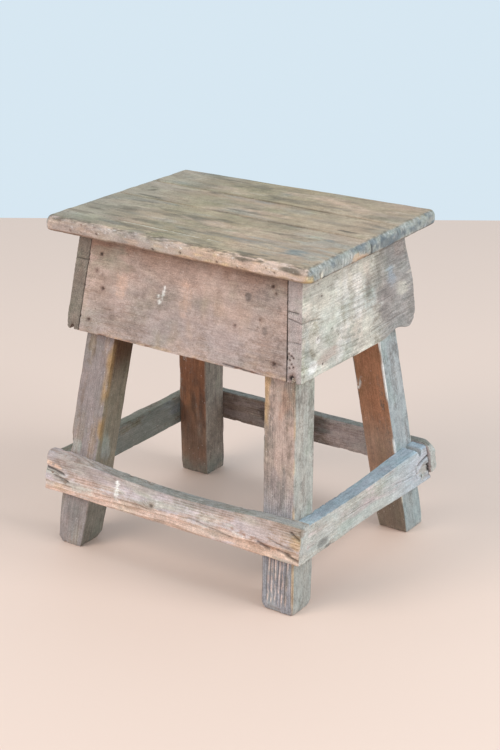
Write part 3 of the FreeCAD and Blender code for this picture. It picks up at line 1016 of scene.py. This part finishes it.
def apron_right():
    board = apron_side("right_apron", 1, 21)
    swell(board, (170, 130, 355), (60, 30, 60), (0, 6, 0))
    swell(board, (170, 145, 296), (60, 26, 24), (0, -9, 9))
    swell(board, (170, 89, 298), (60, 34, 26), (0, 0, 7))
    board.ready()
    grow(board, (-26, -70), 2.7, 6, 0.8, knots=[(-124, 1, 5.0)])
    y = board.world[:, 1]
    right = board.facing("+x")
    board.line[:] = 0.6
    board.wood = mixed(STONE * 1.12, MOSS * 1.4, board.cloudy((40, 40, 40), 1, -0.2, 0.9))
    board.coat = mixed(mixed(CREAM, FOG, 0.4) * 0.98, FOG * 1.08, board.cloudy((40, 50, 30), 2, -0.2, 0.8))
    board.coat = mixed(board.coat, ROSE * 1.15, 0.5 * board.cloudy((26, 40, 30), 7, 0.0, 0.9))
    board.cover = 0.55 + 0.4 * board.clouds((26, 44, 26), 3) - 0.2 * ramp(20, 90, y)
    far_half = ramp(15, 90, y + 14 * board.clouds((30, 40, 30), 8)) * right
    tint(board, mixed(TAUPE, BLUE_GREY, 0.5) * 0.8, 0.8 * far_half)
    board.line *= 1 - 0.45 * far_half
    marks(board, stain, "+x", [
        ((50, 392), (16, 34), STONE * 0.62, 0.6, 0.8, 5),
        ((82, 376), (15, 18), BLUE_GREY * 1.05, 0.75, 0.5),
        ((70, 352), (30, 26), mixed(LILAC, SLATE, 0.5) * 0.8, 0.6, 0.8, 1),
    ])
    tint(board, CREAM * (0.98, 1.0, 1.04), 0.2 * ramp(20, -60, y) * right)
    marks(board, stain, "+x", [
        ((27, 382), (10, 26), mixed(TAUPE, SLATE, 0.6) * 0.75, 0.6, 0.8, 13),
        ((64, 350), (17, 24), mixed(LILAC, SLATE, 0.6) * 0.68, 0.7, 0.8, 14),
        ((-28, 360), (9, 50), mixed(FOG, CHALK, 0.6) * 0.95, 0.5, 0.7, 15),
        ((-64, 332), (26, 14), mixed(STONE, MOSS, 0.4) * 0.9, 0.5, 0.8, 16),
        ((-90, 398), (24, 14), STONE * 0.85, 0.45, 0.8, 17),
        ((110, 404), (20, 20), mixed(TAUPE, LILAC, 0.5) * 0.85, 0.5, 0.8, 6),
        ((-50, 412), (80, 12), STONE * 0.85, 0.4, 0.9, 11),
        ((-20, 312), (90, 9), STONE * 0.85, 0.35, 0.9, 12),
        ((108, 350), (22, 22), CREAM, 0.4, 0.9, 7),
        ((0, 384), (14, 44), CHALK * 0.9, 0.4, 0.7, 8),
        ((-46, 350), (12, 44), CHALK * 0.9, 0.35, 0.8, 9),
        ((-122, 340), (10, 44), FOG * 1.1, 0.6, 0.7, 10),
        ((-97, 344), (8, 6), CHALK, 0.7, 0.6, 2),
        ((-112, 312.5), (10, 9), CHALK, 0.7, 0.7, 3),
        ((-80, 322), (20, 12), ROSE, 0.5, 0.8, 4),
    ])
    tint(board, SLATE, 0.3 * board.knot)
    marks(board, crack, "+x", [
        ((-140, 373), (-84, 367), 0.9, 1.5, 0.45),
        ((-20, 346), (90, 352), 0.5, 0.8, 0.3, 1.0, 1),
        ((20, 318), (120, 322), 0.5, 0.9, 0.35, 1.0, 2),
    ])
    for place in ((-82, 394), (-97, 344.5), (-65, 348), (-90, 311), (120, 402.5), (110, 386)):
        hole(board, "+x", place, 1.3, 0.5, 0.5, STONE)
    strip_colours(board, LILAC * 1.12, ROSE_GREY)
    marks(board, crack, "-y", [
        ((148, 384), (172, 383), 0.7, 1.2, 0.8, 0.4),
        ((152, 376), (178, 371), 0.6, 1.2, 0.8, 0.4, 3),
        ((153, 347), (178, 347.5), 0.6, 1.0, 0.5, 0.4, 1),
    ])
    hole(board, "-y", (168, 305), 2.8, 1.4, 1.0)
    for place in ((161, 333), (165, 331), (163, 326), (168, 329), (166, 321), (164, 316), (169, 318)):
        hole(board, "-y", place, 1.0, 0.8, 0.85)
    weather(board, 0.22, 0.45)
    nibble(board, 1.3, 3.0)
    chip(board, (178, -142, 430), (9, 8, 12), 1.5, CREAM, 1)
    return board


def strip_colours(board, pale, dark):
    """Colours of a side apron's two narrow ends."""
    for side in ("-y", "+y"):
        share = board.facing(side)
        tint(board, pale, share * 0.9)
        tint(board, dark, share * 0.7 * board.cloudy((12, 30, 12), 6, -0.2, 0.8))


def apron_left():
    board = apron_side("left_apron", -1, 27)
    board.ready()
    grow(board, (-26, -70), 2.9, 6, 0.9, knots=[(-60, 14, 5.0)])
    board.line[:] = 0.65
    board.wood = mixed(ROSE_GREY, MOSS * 1.3, board.cloudy((60, 30, 30), 1, -0.3, 0.8))
    board.coat = mixed(ROSE, CREAM, board.cloudy((70, 30, 30), 2, -0.2, 0.8))
    board.cover = 0.45 + 0.35 * board.clouds((60, 26, 26), 3)
    tint(board, WALNUT, 0.45 * board.knot)
    strip_colours(board, mixed(ROSE_GREY, MOSS, 0.5) * 0.72, TAUPE * 0.7)
    crack(board, "-y", (-152, 392), (-176, 392.5), 0.6, 1.2, 0.8, 0.4)
    crack(board, "-x", (-110, 340), (-20, 346), 0.6, 1.0, 0.5, seed=1)
    weather(board, 0.4, 0.45)
    nibble(board, 1.1)
    chip(board, (-183, -140, 296), (8, 14, 14), 4.0, TAUPE)
    return board


# ---------------------------------------------------------------- legs
LEG_STEPS = (2.2, 0.95, 0.95)
LEG_BITE = (24, 7, 7)           # size of the dents along a leg's edges


def leg_block(node, side_x, side_y, seed, arris=1.8):
    """A leg's skin, drawn in at the foot as its CAD solid is."""
    board = Board(node, (Z, (side_x, 0, 0), (0, side_y, 0)), LEG_STEPS, seed)
    points = node_points(node)
    kink = points[points[:, 2] > 1, 2].min()
    ground = points[points[:, 2] < 0.5]
    wear_edges(board, (arris, arris, arris, arris * 1.2), 1.2)
    share = board.places / board.size
    board.world = between(board.corners, share)
    reach = np.array([ground.min(axis=0), ground.max(axis=0)])
    if side_x < 0:
        reach[:, 0] = reach[::-1, 0]
    if side_y < 0:
        reach[:, 1] = reach[::-1, 1]
    level = share.copy()
    level[:, 0] = 0
    top_share = np.clip(1 - board.world[:, 2] / kink, 0, 1)
    block_foot = between(board.corners, level)
    foot = reach[0, :2] + (reach[1, :2] - reach[0, :2]) * share[:, 1:]
    board.world[:, :2] += top_share[:, None] * (foot - block_foot[:, :2])
    board.ready()
    return board


def leg_colours(board, front, side, front_cover, side_cover):
    """Thin coats on the four faces: front and back alike, left and right alike, over taupe and rose-grey
    wood.
    """
    board.wood = mixed(TAUPE, ROSE_GREY, board.cloudy((90, 12, 12), 1, -0.4, 0.6))
    front_share = np.maximum(board.facing("-y"), board.facing("+y"))
    side_share = np.maximum(board.facing("-x"), board.facing("+x"))
    board.dye(side * 0.78, 0.8 * side_share)
    total = np.maximum(front_share + side_share, 1e-6)
    board.coat = (front * front_share[:, None] + side * side_share[:, None]) / total[:, None]
    board.cover = (front_cover * front_share + side_cover * side_share) / total
    board.cover += 0.3 * board.clouds((70, 12, 12), 3)


def arris_wear(board, colour, reach, strength, corner=None, low=0.0, high=500.0):
    """Bare wood in runs along the long corners between two heights. corner picks one of them, by
    whether it is on the outer side across and the outer side through."""
    gap = np.minimum(board.places, board.size - board.places)[:, 1:].max(axis=1)
    share = ramp(reach, reach * 0.3, gap) * board.cloudy((45, 30, 30), 91, -0.35, 0.25)
    if corner is not None:
        share = share * (board.side[:, 1:] == corner).all(axis=1)
    z = board.world[:, 2]
    tint(board, colour, strength * share * ramp(low - 25, low + 5, z) * ramp(high + 25, high - 5, z))


def leg_front_right():
    board = leg_block("leg_front_right", 1, -1, 31, 2.2)
    grow(board, (40, 16), 3.0, 3, 1.4)
    leg_colours(board, ROSE * 1.0, FOG * (0.99, 0.93, 0.9), 0.5, 0.65)
    z = board.world[:, 2]
    low = ramp(190, 90, z)
    board.line = 0.3 + 0.5 * low
    tint(board, LILAC * (0.86, 1.06, 1.22), 0.85 * low * board.facing("-y"))
    tint(board, FOG * 0.78, 0.6 * ramp(90, 40, z) * board.facing("+x"))
    board.cover -= 0.25 * low * board.facing("-y")
    marks(board, stain, "-y", [
        ((150, 262), (14, 26), RED_BROWN * 1.15, 0.45, 0.5),
        ((148, 156), (8, 30), LILAC * 0.6, 0.6, 0.9, 1),
        ((160, 170), (6, 34), LILAC * 0.7, 0.5, 0.9, 2),
    ])
    arris_wear(board, HONEY, 3.4, 0.85, (True, True), 20, 240)
    arris_wear(board, TAUPE * 1.1, 2.4, 0.5)
    stain(board, "-y", (121, 274), (8, 60), HONEY * (0.82, 0.8, 0.72), 0.7, 0.6, seed=9)
    for number, x_mark in enumerate((147, 152, 157, 163, 168, 174)):
        crack(board, "-y", (x_mark, 70 + 3 * number), (x_mark + 4, 6), 0.9, 0.9, 0.42, 0.7, seed=number)
        scrape(board, "-y", (x_mark + 2.5, 74), (x_mark + 6, 6), 1.3, PALE_ROSE * 1.25, 0.8, seed=number)
    stain(board, "-y", (178, 40), (4, 26), MOSS * 0.8, 0.6, 0.6, seed=8)
    weather(board, 0.38, 0.45)
    nibble(board, 1.3, 3.5, LEG_BITE)
    foot_wear(board)
    return board


def leg_front_left():
    board = leg_block("leg_front_left", -1, -1, 34)
    grow(board, (30, -26), 3.2, 3, 1.4)
    leg_colours(board, LILAC * 0.72, UMBER * 1.15, 0.6, 0.4)
    z = board.world[:, 2]
    inner = board.facing("+x")
    tint(board, UMBER * (1.2, 0.95, 0.75), 0.85 * inner * ramp(215, 290, z))
    tint(board, mixed(TEAL, TAUPE, 0.4) * (1.5, 1.4, 1.25), 0.9 * inner * ramp(270, 215, z))
    tint(board, mixed(TEAL, UMBER, 0.35) * (1.27, 1.17, 1.17), 0.8 * inner * ramp(120, 80, z))
    board.cover += 0.3 * inner * ramp(285, 225, z)
    stain(board, "+x", (-128, 138), (16, 20), FOG, 0.7, 0.6, seed=1)
    arris_wear(board, TAUPE * 0.9, 2.4, 0.5)
    arris_wear(board, HONEY * (0.62, 0.6, 0.52), 11.0, 0.85, (False, True), 130, 270)
    stain(board, "-y", (-160, 138), (22, 11), FOG * 0.95, 0.6, 0.8, seed=5)
    tint(board, mixed(SLATE, LILAC, 0.5) * 1.1, 0.5 * board.facing("-y") * ramp(95, 60, z))
    stain(board, "-y", (-164, 40), (14, 24), SLATE * 0.9, 0.35, 0.6)
    weather(board, 0.28, 0.45)
    nibble(board, 1.3, 3.5, LEG_BITE)
    chip(board, (-179, -145, 142), (7, 14, 22), 3.0, TAUPE)
    swell(board, (-190, -150, 0), (26, 90, 48), (6, 0, 0))
    swell(board, (-136, -140, 0), (20, 90, 48), (-3, 0, 0))
    foot_wear(board)
    return board


def leg_back_left():
    board = leg_block("leg_back_left", -1, 1, 37)
    grow(board, (-30, 24), 3.2, 3, 1.4)
    leg_colours(board, WALNUT * 1.08, TAUPE * (0.87, 0.98, 1.02), 0.7, 0.5)
    z = board.world[:, 2]
    front = board.facing("-y")
    tint(board, CHESTNUT * 0.9, 0.5 * front * board.cloudy((60, 14, 14), 5, 0.0, 0.8))
    tint(board, TAUPE * (0.72, 0.63, 0.57), 0.7 * front * ramp(140, 60, z))
    tint(board, ROSE_GREY * 0.8, 0.75 * board.facing("+y"))
    stain(board, "-y", (-152, 122), (22, 42), SOOT * 1.9, 0.5, 0.7)
    tint(board, TEAL, 0.5 * ramp(34, 6, z + 8 * board.clouds((20, 14, 14), 6)))
    arris_wear(board, TAUPE, 2.4, 0.6)
    weather(board, 0.25, 0.4)
    nibble(board, 1.1, 3.0, LEG_BITE)
    foot_wear(board)
    return board


def leg_back_right():
    board = leg_block("leg_back_right", 1, 1, 41)
    grow(board, (28, -30), 3.2, 3, 1.4)
    leg_colours(board, mixed(CHESTNUT * 1.25, TAUPE * 1.25, 0.27), mixed(FOG, BLUE_GREY, 0.5), 0.75, 0.6)
    z = board.world[:, 2]
    front = board.facing("-y")
    tint(board, mixed(ROSE_GREY, FOG, 0.4), 0.75 * board.facing("+y"))
    tint(board, WALNUT * 1.2, 0.22 * front * board.cloudy((70, 14, 14), 5, 0.1, 0.9))
    tint(board, TAUPE * 1.1, 0.55 * front * ramp(190, 130, z))
    tint(board, mixed(UMBER, SLATE, 0.45) * (1.1, 1.08, 1.0), 0.85 * front * ramp(80, 50, z))
    tint(board, FOG * (0.7, 0.79, 0.83), 0.6 * board.facing("+x") * ramp(80, 40, z))
    marks(board, scrape, "-y", [
        ((121, 230), (127, 208), 1.9, CHALK * 1.15, 1.0),
        ((133, 228), (126, 208), 1.7, CHALK * 1.15, 1.0, 1),
    ])
    arris_wear(board, CREAM, 3.0, 0.7)
    arris_wear(board, CHALK, 3.4, 0.95, (True, False), 110, 300)
    weather(board, 0.3, 0.4)
    nibble(board, 1.1, 3.0, LEG_BITE)
    foot_wear(board)
    return board


def foot_wear(board):
    """Pale bruised rim at the ground."""
    z = board.world[:, 2]
    rim = ramp(9, 2, z + 3 * board.clouds((12, 12, 12), 95))
    tint(board, TAUPE * 1.1, 0.35 * rim * board.cloudy((14, 14, 14), 97, -0.3, 0.5))
    board.depth += 0.8 * rim * board.cloudy((9, 9, 9), 96, -0.2, 0.8) * (z > 0.05)


# ---------------------------------------------------------------- stretchers
STRETCHER_STEPS = (1.7, 0.8, 0.8)


def stretcher_front():
    board = Board("front_stretcher", (X, Z, (0, -1, 0)), STRETCHER_STEPS, 51, level_top=True)
    follow_worn_top(board)
    wear_edges(board, (1.0, 4.0, 1.5, 10.5), 2.5, 0.3)
    board.settle()
    x, _, z = board.world.T
    grow(board, (-30, -26), 2.6, 4, 1.2, knots=[(-25, -4, 4.0)])
    board.line[:] = 0.6
    board.wood = mixed(PALE_ROSE * 0.97, STONE * 1.15, board.cloudy((60, 12, 12), 1, -0.3, 0.7))
    board.dye(mixed(SALMON, PALE_ROSE, 0.5), 0.7 * ramp(95, 78, z + 5 * board.clouds((40, 20, 20), 2)))
    board.coat = mixed(LILAC * (1.44, 1.5, 1.6), STONE * 1.4, board.cloudy((40, 14, 14), 7, -0.2, 0.7))
    board.cover = 0.55 + 0.45 * board.clouds((45, 12, 12), 3) - 0.35 * ramp(96, 82, z)
    tint(board, LILAC * 0.95, 0.6 * ramp(107, 114, z + 2 * board.clouds((20, 9, 9), 4)))
    tint(board, TEAL * 1.2, 0.6 * board.facing("+z") * ramp(-150, -60, x))
    tint(board, RED_BROWN, 0.3 * ramp(96, 86, z) * board.cloudy((50, 6, 6), 8, 0.1, 0.9))
    tint(board, TAUPE, 0.5 * board.knot)
    tint(board, FOG * 1.1, 0.85 * board.facing("+x"))
    tint(board, HONEY * 0.8, 0.22 * board.facing("-y") * ramp(80, 160, x))
    marks(board, stain, "-y", [
        ((194, 108), (10, 8), HONEY * 0.75, 0.6, 0.9),
        ((198, 96), (11, 9), HONEY * 0.95, 0.6, 0.9, 3),
        ((180, 80), (30, 5), SALMON * 1.1, 0.7, 0.5, 1),
        ((-150, 108), (50, 18), ROSE_GREY, 0.5, 0.9, 2),
        ((-176, 84), (20, 8), FAWN, 0.6, 0.7, 4),
    ])
    marks(board, crack, "-y", [
        ((-226, 111), (-166, 100), 1.9, 2.4, 0.85, 1.1),
        ((-222, 105), (-176, 98), 1.0, 1.4, 0.6, 1.5, 9),
        ((-190, 97), (-160, 92), 1.3, 1.8, 0.55, 1.4, 1),
        ((138, 92), (162, 88), 1.8, 1.6, 0.65, 1.5, 2),
        ((168, 89), (192, 85), 1.5, 1.6, 0.65, 1.5, 8),
        ((180, 87), (222, 77), 2.0, 2.4, 0.8, 1.5, 6),
        ((-110, 92), (-20, 90), 0.7, 1.0, 0.35, 1.0, 3),
        ((30, 94), (110, 86), 1.2, 1.3, 0.4, 1.2, 4),
        ((150, 99), (196, 93), 0.8, 1.2, 0.5, 1.2, 5),
        ((186, 115), (202, 107), 1.5, 2.0, 0.7, 1.2, 7),
    ])
    marks(board, scrape, "-y", [
        ((-226, 117), (-172, 107), 3.2, SALMON * 1.15, 0.95, 1),
        ((96, 99), (172, 87), 3.4, RED_BROWN * 1.05, 0.7, 8),
        # painted highlight along the lip of the long crack
        ((100, 95), (122, 91), 1.6, CHALK, 0.8, 9),
    ])
    for number, x_mark in enumerate((-83, -80.5, -78.5, -81)):
        scrape(board, "-y", (x_mark, 117), (x_mark - 1, 86), 1.4, CHALK * 1.1, 0.95, seed=number)
    scrape(board, "-y", (-16, 106), (-17, 92), 0.9, CHALK, 0.8, seed=6)
    for place in ((-168, 92), (-25, 95)):
        hole(board, "-y", place, 1.8, 0.8, 0.6, TAUPE)
    weather(board, 0.35, 0.8)
    nibble(board, 1.8, 5.0, (14, 6, 6))
    chip(board, (-205, -165, 80), (9, 14, 8), 2.5, FAWN)
    chip(board, (204, -166, 116), (8, 12, 8), 2.5, TAUPE, 1)
    return board


def stretcher_right():
    board = Board("right_stretcher", (Y, Z, X), STRETCHER_STEPS, 54, level_top=True)
    follow_worn_top(board)
    wear_edges(board, (1.0, 3.0, 1.0, 4.5), 0.6)
    board.settle()
    swell(board, (195, 0, 74), (60, 90, 30), (0, 0, 3))
    y = board.world[:, 1]
    grow(board, (-34, -30), 2.8, 4, 1.2)
    board.wood = mixed(STONE * 1.15, FOG * 1.05, board.cloudy((70, 12, 12), 1, -0.2, 0.8))
    board.line[:] = 0.22
    board.coat = mixed(FOG * 1.08, LILAC * 1.25, board.cloudy((60, 14, 14), 2, -0.2, 0.9))
    board.cover = 0.65 + 0.35 * board.clouds((45, 12, 12), 3)
    tint(board, BLUE_GREY * (1.04, 1.2, 1.28), 0.7 * board.facing("+z"))
    tint(board, BLUE_GREY * (1.3, 1.35, 1.45), 0.45 * ramp(20, 110, y) * board.facing("+x"))
    marks(board, stain, "+x", [
        ((-118, 86), (14, 8), SLATE * 0.8, 0.7, 0.6),
        ((-104, 78), (8, 3), SLATE * 0.6, 0.7, 0.6, 1),
    ])
    marks(board, crack, "+x", [
        ((118, 103), (160, 112), 1.3, 3.0, 0.9, 0.6),
        ((117, 104), (120, 84), 1.0, 2.2, 0.7, 0.6, 3),
        ((60, 98), (110, 94), 0.6, 1.0, 0.4, 0.8, 1),
        ((-80, 100), (20, 97), 0.5, 0.8, 0.35, 0.8, 2),
    ])
    weather(board, 0.18, 0.5)
    nibble(board, 1.1, 3.5)
    chip(board, (206, 140, 90), (10, 20, 14), 4.0, STONE)
    # painted shade in the joint at the far end
    board.add_dirt_and_shade(0.85 * ramp(1.6, 0.4, board.end_gap) * (y > 0))
    return board


def stretcher_back():
    board = Board("back_stretcher", (X, Z, Y), STRETCHER_STEPS, 57)
    wear_edges(board, (1.5, 4.0, 1.5, 5.0), 5.0)
    board.settle()
    swell(board, (208, 172, 128), (18, 60, 18), (-5, 0, -5))
    x = board.world[:, 0]
    grow(board, (30, -30), 2.8, 4, 1.2, knots=[(-40, 2, 4)])
    board.line[:] = 0.35
    board.wood = mixed(TAUPE * 0.9, ROSE_GREY * 0.9, board.cloudy((70, 12, 12), 1, -0.2, 0.8))
    board.coat = mixed(LILAC * 0.9, FOG * 0.85, board.cloudy((80, 14, 14), 2, 0.0, 0.8))
    board.cover = 0.5 + 0.4 * board.clouds((55, 12, 12), 3)
    inner = board.facing("-y")
    tint(board, mixed(UMBER, LILAC, 0.3), 0.6 * inner * ramp(40, 15, x))
    tint(board, LILAC * 1.3, 0.75 * inner * ramp(28, 62, x))
    marks(board, stain, "-y", [
        ((-60, 104), (16, 26), SOOT * 1.5, 0.6, 0.5),
        ((28, 104), (26, 26), SOOT * 1.6, 0.6, 0.5, 1),
    ])
    tint(board, TEAL, 0.65 * board.facing("+z"))
    tint(board, FOG * 1.05, 0.85 * ramp(0.2, 0.6, board.normal[:, 0]))
    tint(board, WALNUT, 0.5 * board.knot)
    crack(board, "+y", (-200, 110), (-150, 108), 1.0, 2.0, 0.8, 0.8)
    weather(board, 0.32, 0.5)
    nibble(board, 1.3, 4.0)
    return board


def stretcher_left():
    board = Board("left_stretcher", (Y, Z, (-1, 0, 0)), STRETCHER_STEPS, 61)
    wear_edges(board, (1.0, 3.0, 3.5, 5.0), 0.6)
    board.settle()
    grow(board, (34, -30), 2.8, 4, 1.2)
    board.wood = mixed(TAUPE * 0.95, MOSS, board.cloudy((70, 12, 12), 1, -0.2, 0.8))
    board.line[:] = 0.4
    board.coat = mixed(TEAL * 1.05, STONE * 0.8, 0.35 + 0.5 * board.facing("-x"))
    board.cover = 0.7 + 0.35 * board.clouds((55, 12, 12), 3)
    tint(board, MOSS * 0.85, 0.6 * board.facing("+z"))
    stain(board, "+x", (90, 108), (30, 16), BLUE_GREY * 0.8, 0.5, 0.7)
    crack(board, "-x", (-60, 100), (60, 104), 0.6, 1.0, 0.5, 0.8)
    weather(board, 0.3, 0.5)
    nibble(board, 1.1, 3.5)
    # painted shade in the joints at both ends
    shade_board_ends(board, 1.4, 0.85)
    return board


# each slot's wood, and the boards made of it
FINISHES = [
    ("weathered_seat", weathered_wood("seat_wood", (0.74, 0.72, 0.68), 0.32, 0.6, 0.7, 0.25),
     (seat_front, seat_middle, seat_back)),
    ("painted_apron", weathered_wood("painted_front_wood", (0.78, 0.70, 0.64), 0.4, 0.6, 0.4, 0.25),
     (apron_front, apron_back)),
    ("painted_side", weathered_wood("painted_side_wood", (0.62, 0.60, 0.56), 0.6, 0.7, 0.4, 0.2),
     (apron_left, apron_right)),
    ("stained_leg", weathered_wood("leg_wood", (0.66, 0.60, 0.56), 0.6, 0.6, 0.4, 0.35),
     (leg_front_left, leg_front_right, leg_back_left, leg_back_right)),
    ("worn_stretcher", weathered_wood("stretcher_wood", (0.64, 0.54, 0.46), 0.6, 0.6, 0.5, 0.4),
     (stretcher_front, stretcher_right, stretcher_back, stretcher_left)),
]
for slot_name, finish, makers in FINISHES:
    for make in makers:
        make_board(make(), finish)

# the coat over each side's nails, and how much of it is left
NAIL_COATS = {
    "board": (SEAT_OLIVE * 0.8, 0.75),
    "apron": (ROSE_GREY * 0.6, 0.42),
    "front_stretcher": (TAUPE, 0.62),
    "back_stretcher": (TAUPE, 0.62),
    "left_stretcher": (TAUPE, 0.62),
    "right_stretcher": (FOG * 1.1, 0.92),
}
for part_word, (paint, painted) in NAIL_COATS.items():
    iron = old_iron(part_word + "_nail_iron", paint, painted)
    for name in [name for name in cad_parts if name.endswith(part_word + "_nails")]:
        make_nails(name, iron)


# ---------------------------------------------------------------- floor, light and camera
FLOOR_COLOUR = (0.71, 0.54, 0.45)
WALL_COLOUR = (0.68, 0.80, 0.886)
FLOOR_EDGE = 1.54               # how far behind the stool the floor stops, along the view
FLOOR_REACH = 6.0
FLOOR_ROUGHNESS = 0.6
FLOOR_MOTTLE = 0.015
LIGHT_TARGET = Vector((0, 0, 0.25))
LIGHTS = [                      # name, place, size, power and colour
    ("window_light", (2.6, 0.3, 1.9), 1.6, 60, (0.93, 0.97, 1.0)),
    ("room_light", (-1.4, -2.6, 2.2), 1.8, 67, (1.0, 0.92, 0.86)),
]
CAMERA_PLACE = Vector((1.2473, -1.8162, 1.0743))
CAMERA_TURN = math.radians(34.2)
CAMERA_DROP = math.radians(21.01)
CAMERA_ROLL = math.radians(0.315)
CAMERA_LENS = 85.56
CAMERA_SENSOR = 36.0


def plain_material(name, colour, roughness):
    """One colour with the faintest of clouds in it."""
    nodes = Nodes(name)
    place = nodes.add("ShaderNodeTexCoord").outputs["Object"]
    cloud = nodes.noise(place, (1.5, 1.5, 1.5), 2)
    tone = nodes.mix(opaque(np.array(colour) * (1 - FLOOR_MOTTLE)),
                     opaque(np.array(colour) * (1 + FLOOR_MOTTLE)), cloud)
    nodes.feed(nodes.shader.inputs["Base Color"], tone)
    nodes.shader.inputs["Roughness"].default_value = roughness
    return nodes.material


def make_floor():
    """A pale sheet that stops behind the stool, square to the view, where the pale surroundings start."""
    away = Vector((-math.sin(CAMERA_TURN), math.cos(CAMERA_TURN), 0))
    across = Vector((math.cos(CAMERA_TURN), math.sin(CAMERA_TURN), 0))
    far = away * FLOOR_EDGE
    near = -away * FLOOR_REACH
    corners = [near - across * FLOOR_REACH, near + across * FLOOR_REACH,
               far + across * FLOOR_REACH, far - across * FLOOR_REACH]
    mesh = bpy.data.meshes.new("floor")
    mesh.from_pydata(corners, [], [(0, 1, 2, 3)])
    mesh.materials.append(plain_material("floor_pale", FLOOR_COLOUR, FLOOR_ROUGHNESS))
    floor = bpy.data.objects.new("floor", mesh)
    bpy.context.scene.collection.objects.link(floor)


def soft_light(name, place, size, power, colour):
    """A square area light that looks at the stool."""
    lamp = bpy.data.lights.new(name, "AREA")
    lamp.shape = "SQUARE"
    lamp.size = size
    lamp.energy = power
    lamp.color = colour
    light = bpy.data.objects.new(name, lamp)
    light.location = place
    light.rotation_euler = (LIGHT_TARGET - Vector(place)).to_track_quat("-Z", "Y").to_euler()
    bpy.context.scene.collection.objects.link(light)


def make_camera():
    """A camera turned round the stool, dropped towards it and very slightly rolled."""
    data = bpy.data.cameras.new("camera")
    data.lens = CAMERA_LENS
    data.sensor_width = CAMERA_SENSOR
    turn = Matrix.Rotation(CAMERA_TURN, 4, "Z")
    tip = Matrix.Rotation(math.pi / 2 - CAMERA_DROP, 4, "X")
    roll = Matrix.Rotation(CAMERA_ROLL, 4, "Z")
    camera = bpy.data.objects.new("camera", data)
    camera.matrix_world = Matrix.Translation(CAMERA_PLACE) @ turn @ tip @ roll
    bpy.context.scene.collection.objects.link(camera)
    bpy.context.scene.camera = camera


def make_surroundings():
    world = bpy.data.worlds.new("surroundings")
    world.use_nodes = True
    world.node_tree.nodes["Background"].inputs["Color"].default_value = (*WALL_COLOUR, 1)
    bpy.context.scene.world = world
    bpy.context.scene.view_settings.view_transform = "Standard"


make_floor()
make_surroundings()
for light_settings in LIGHTS:
    soft_light(*light_settings)
make_camera()
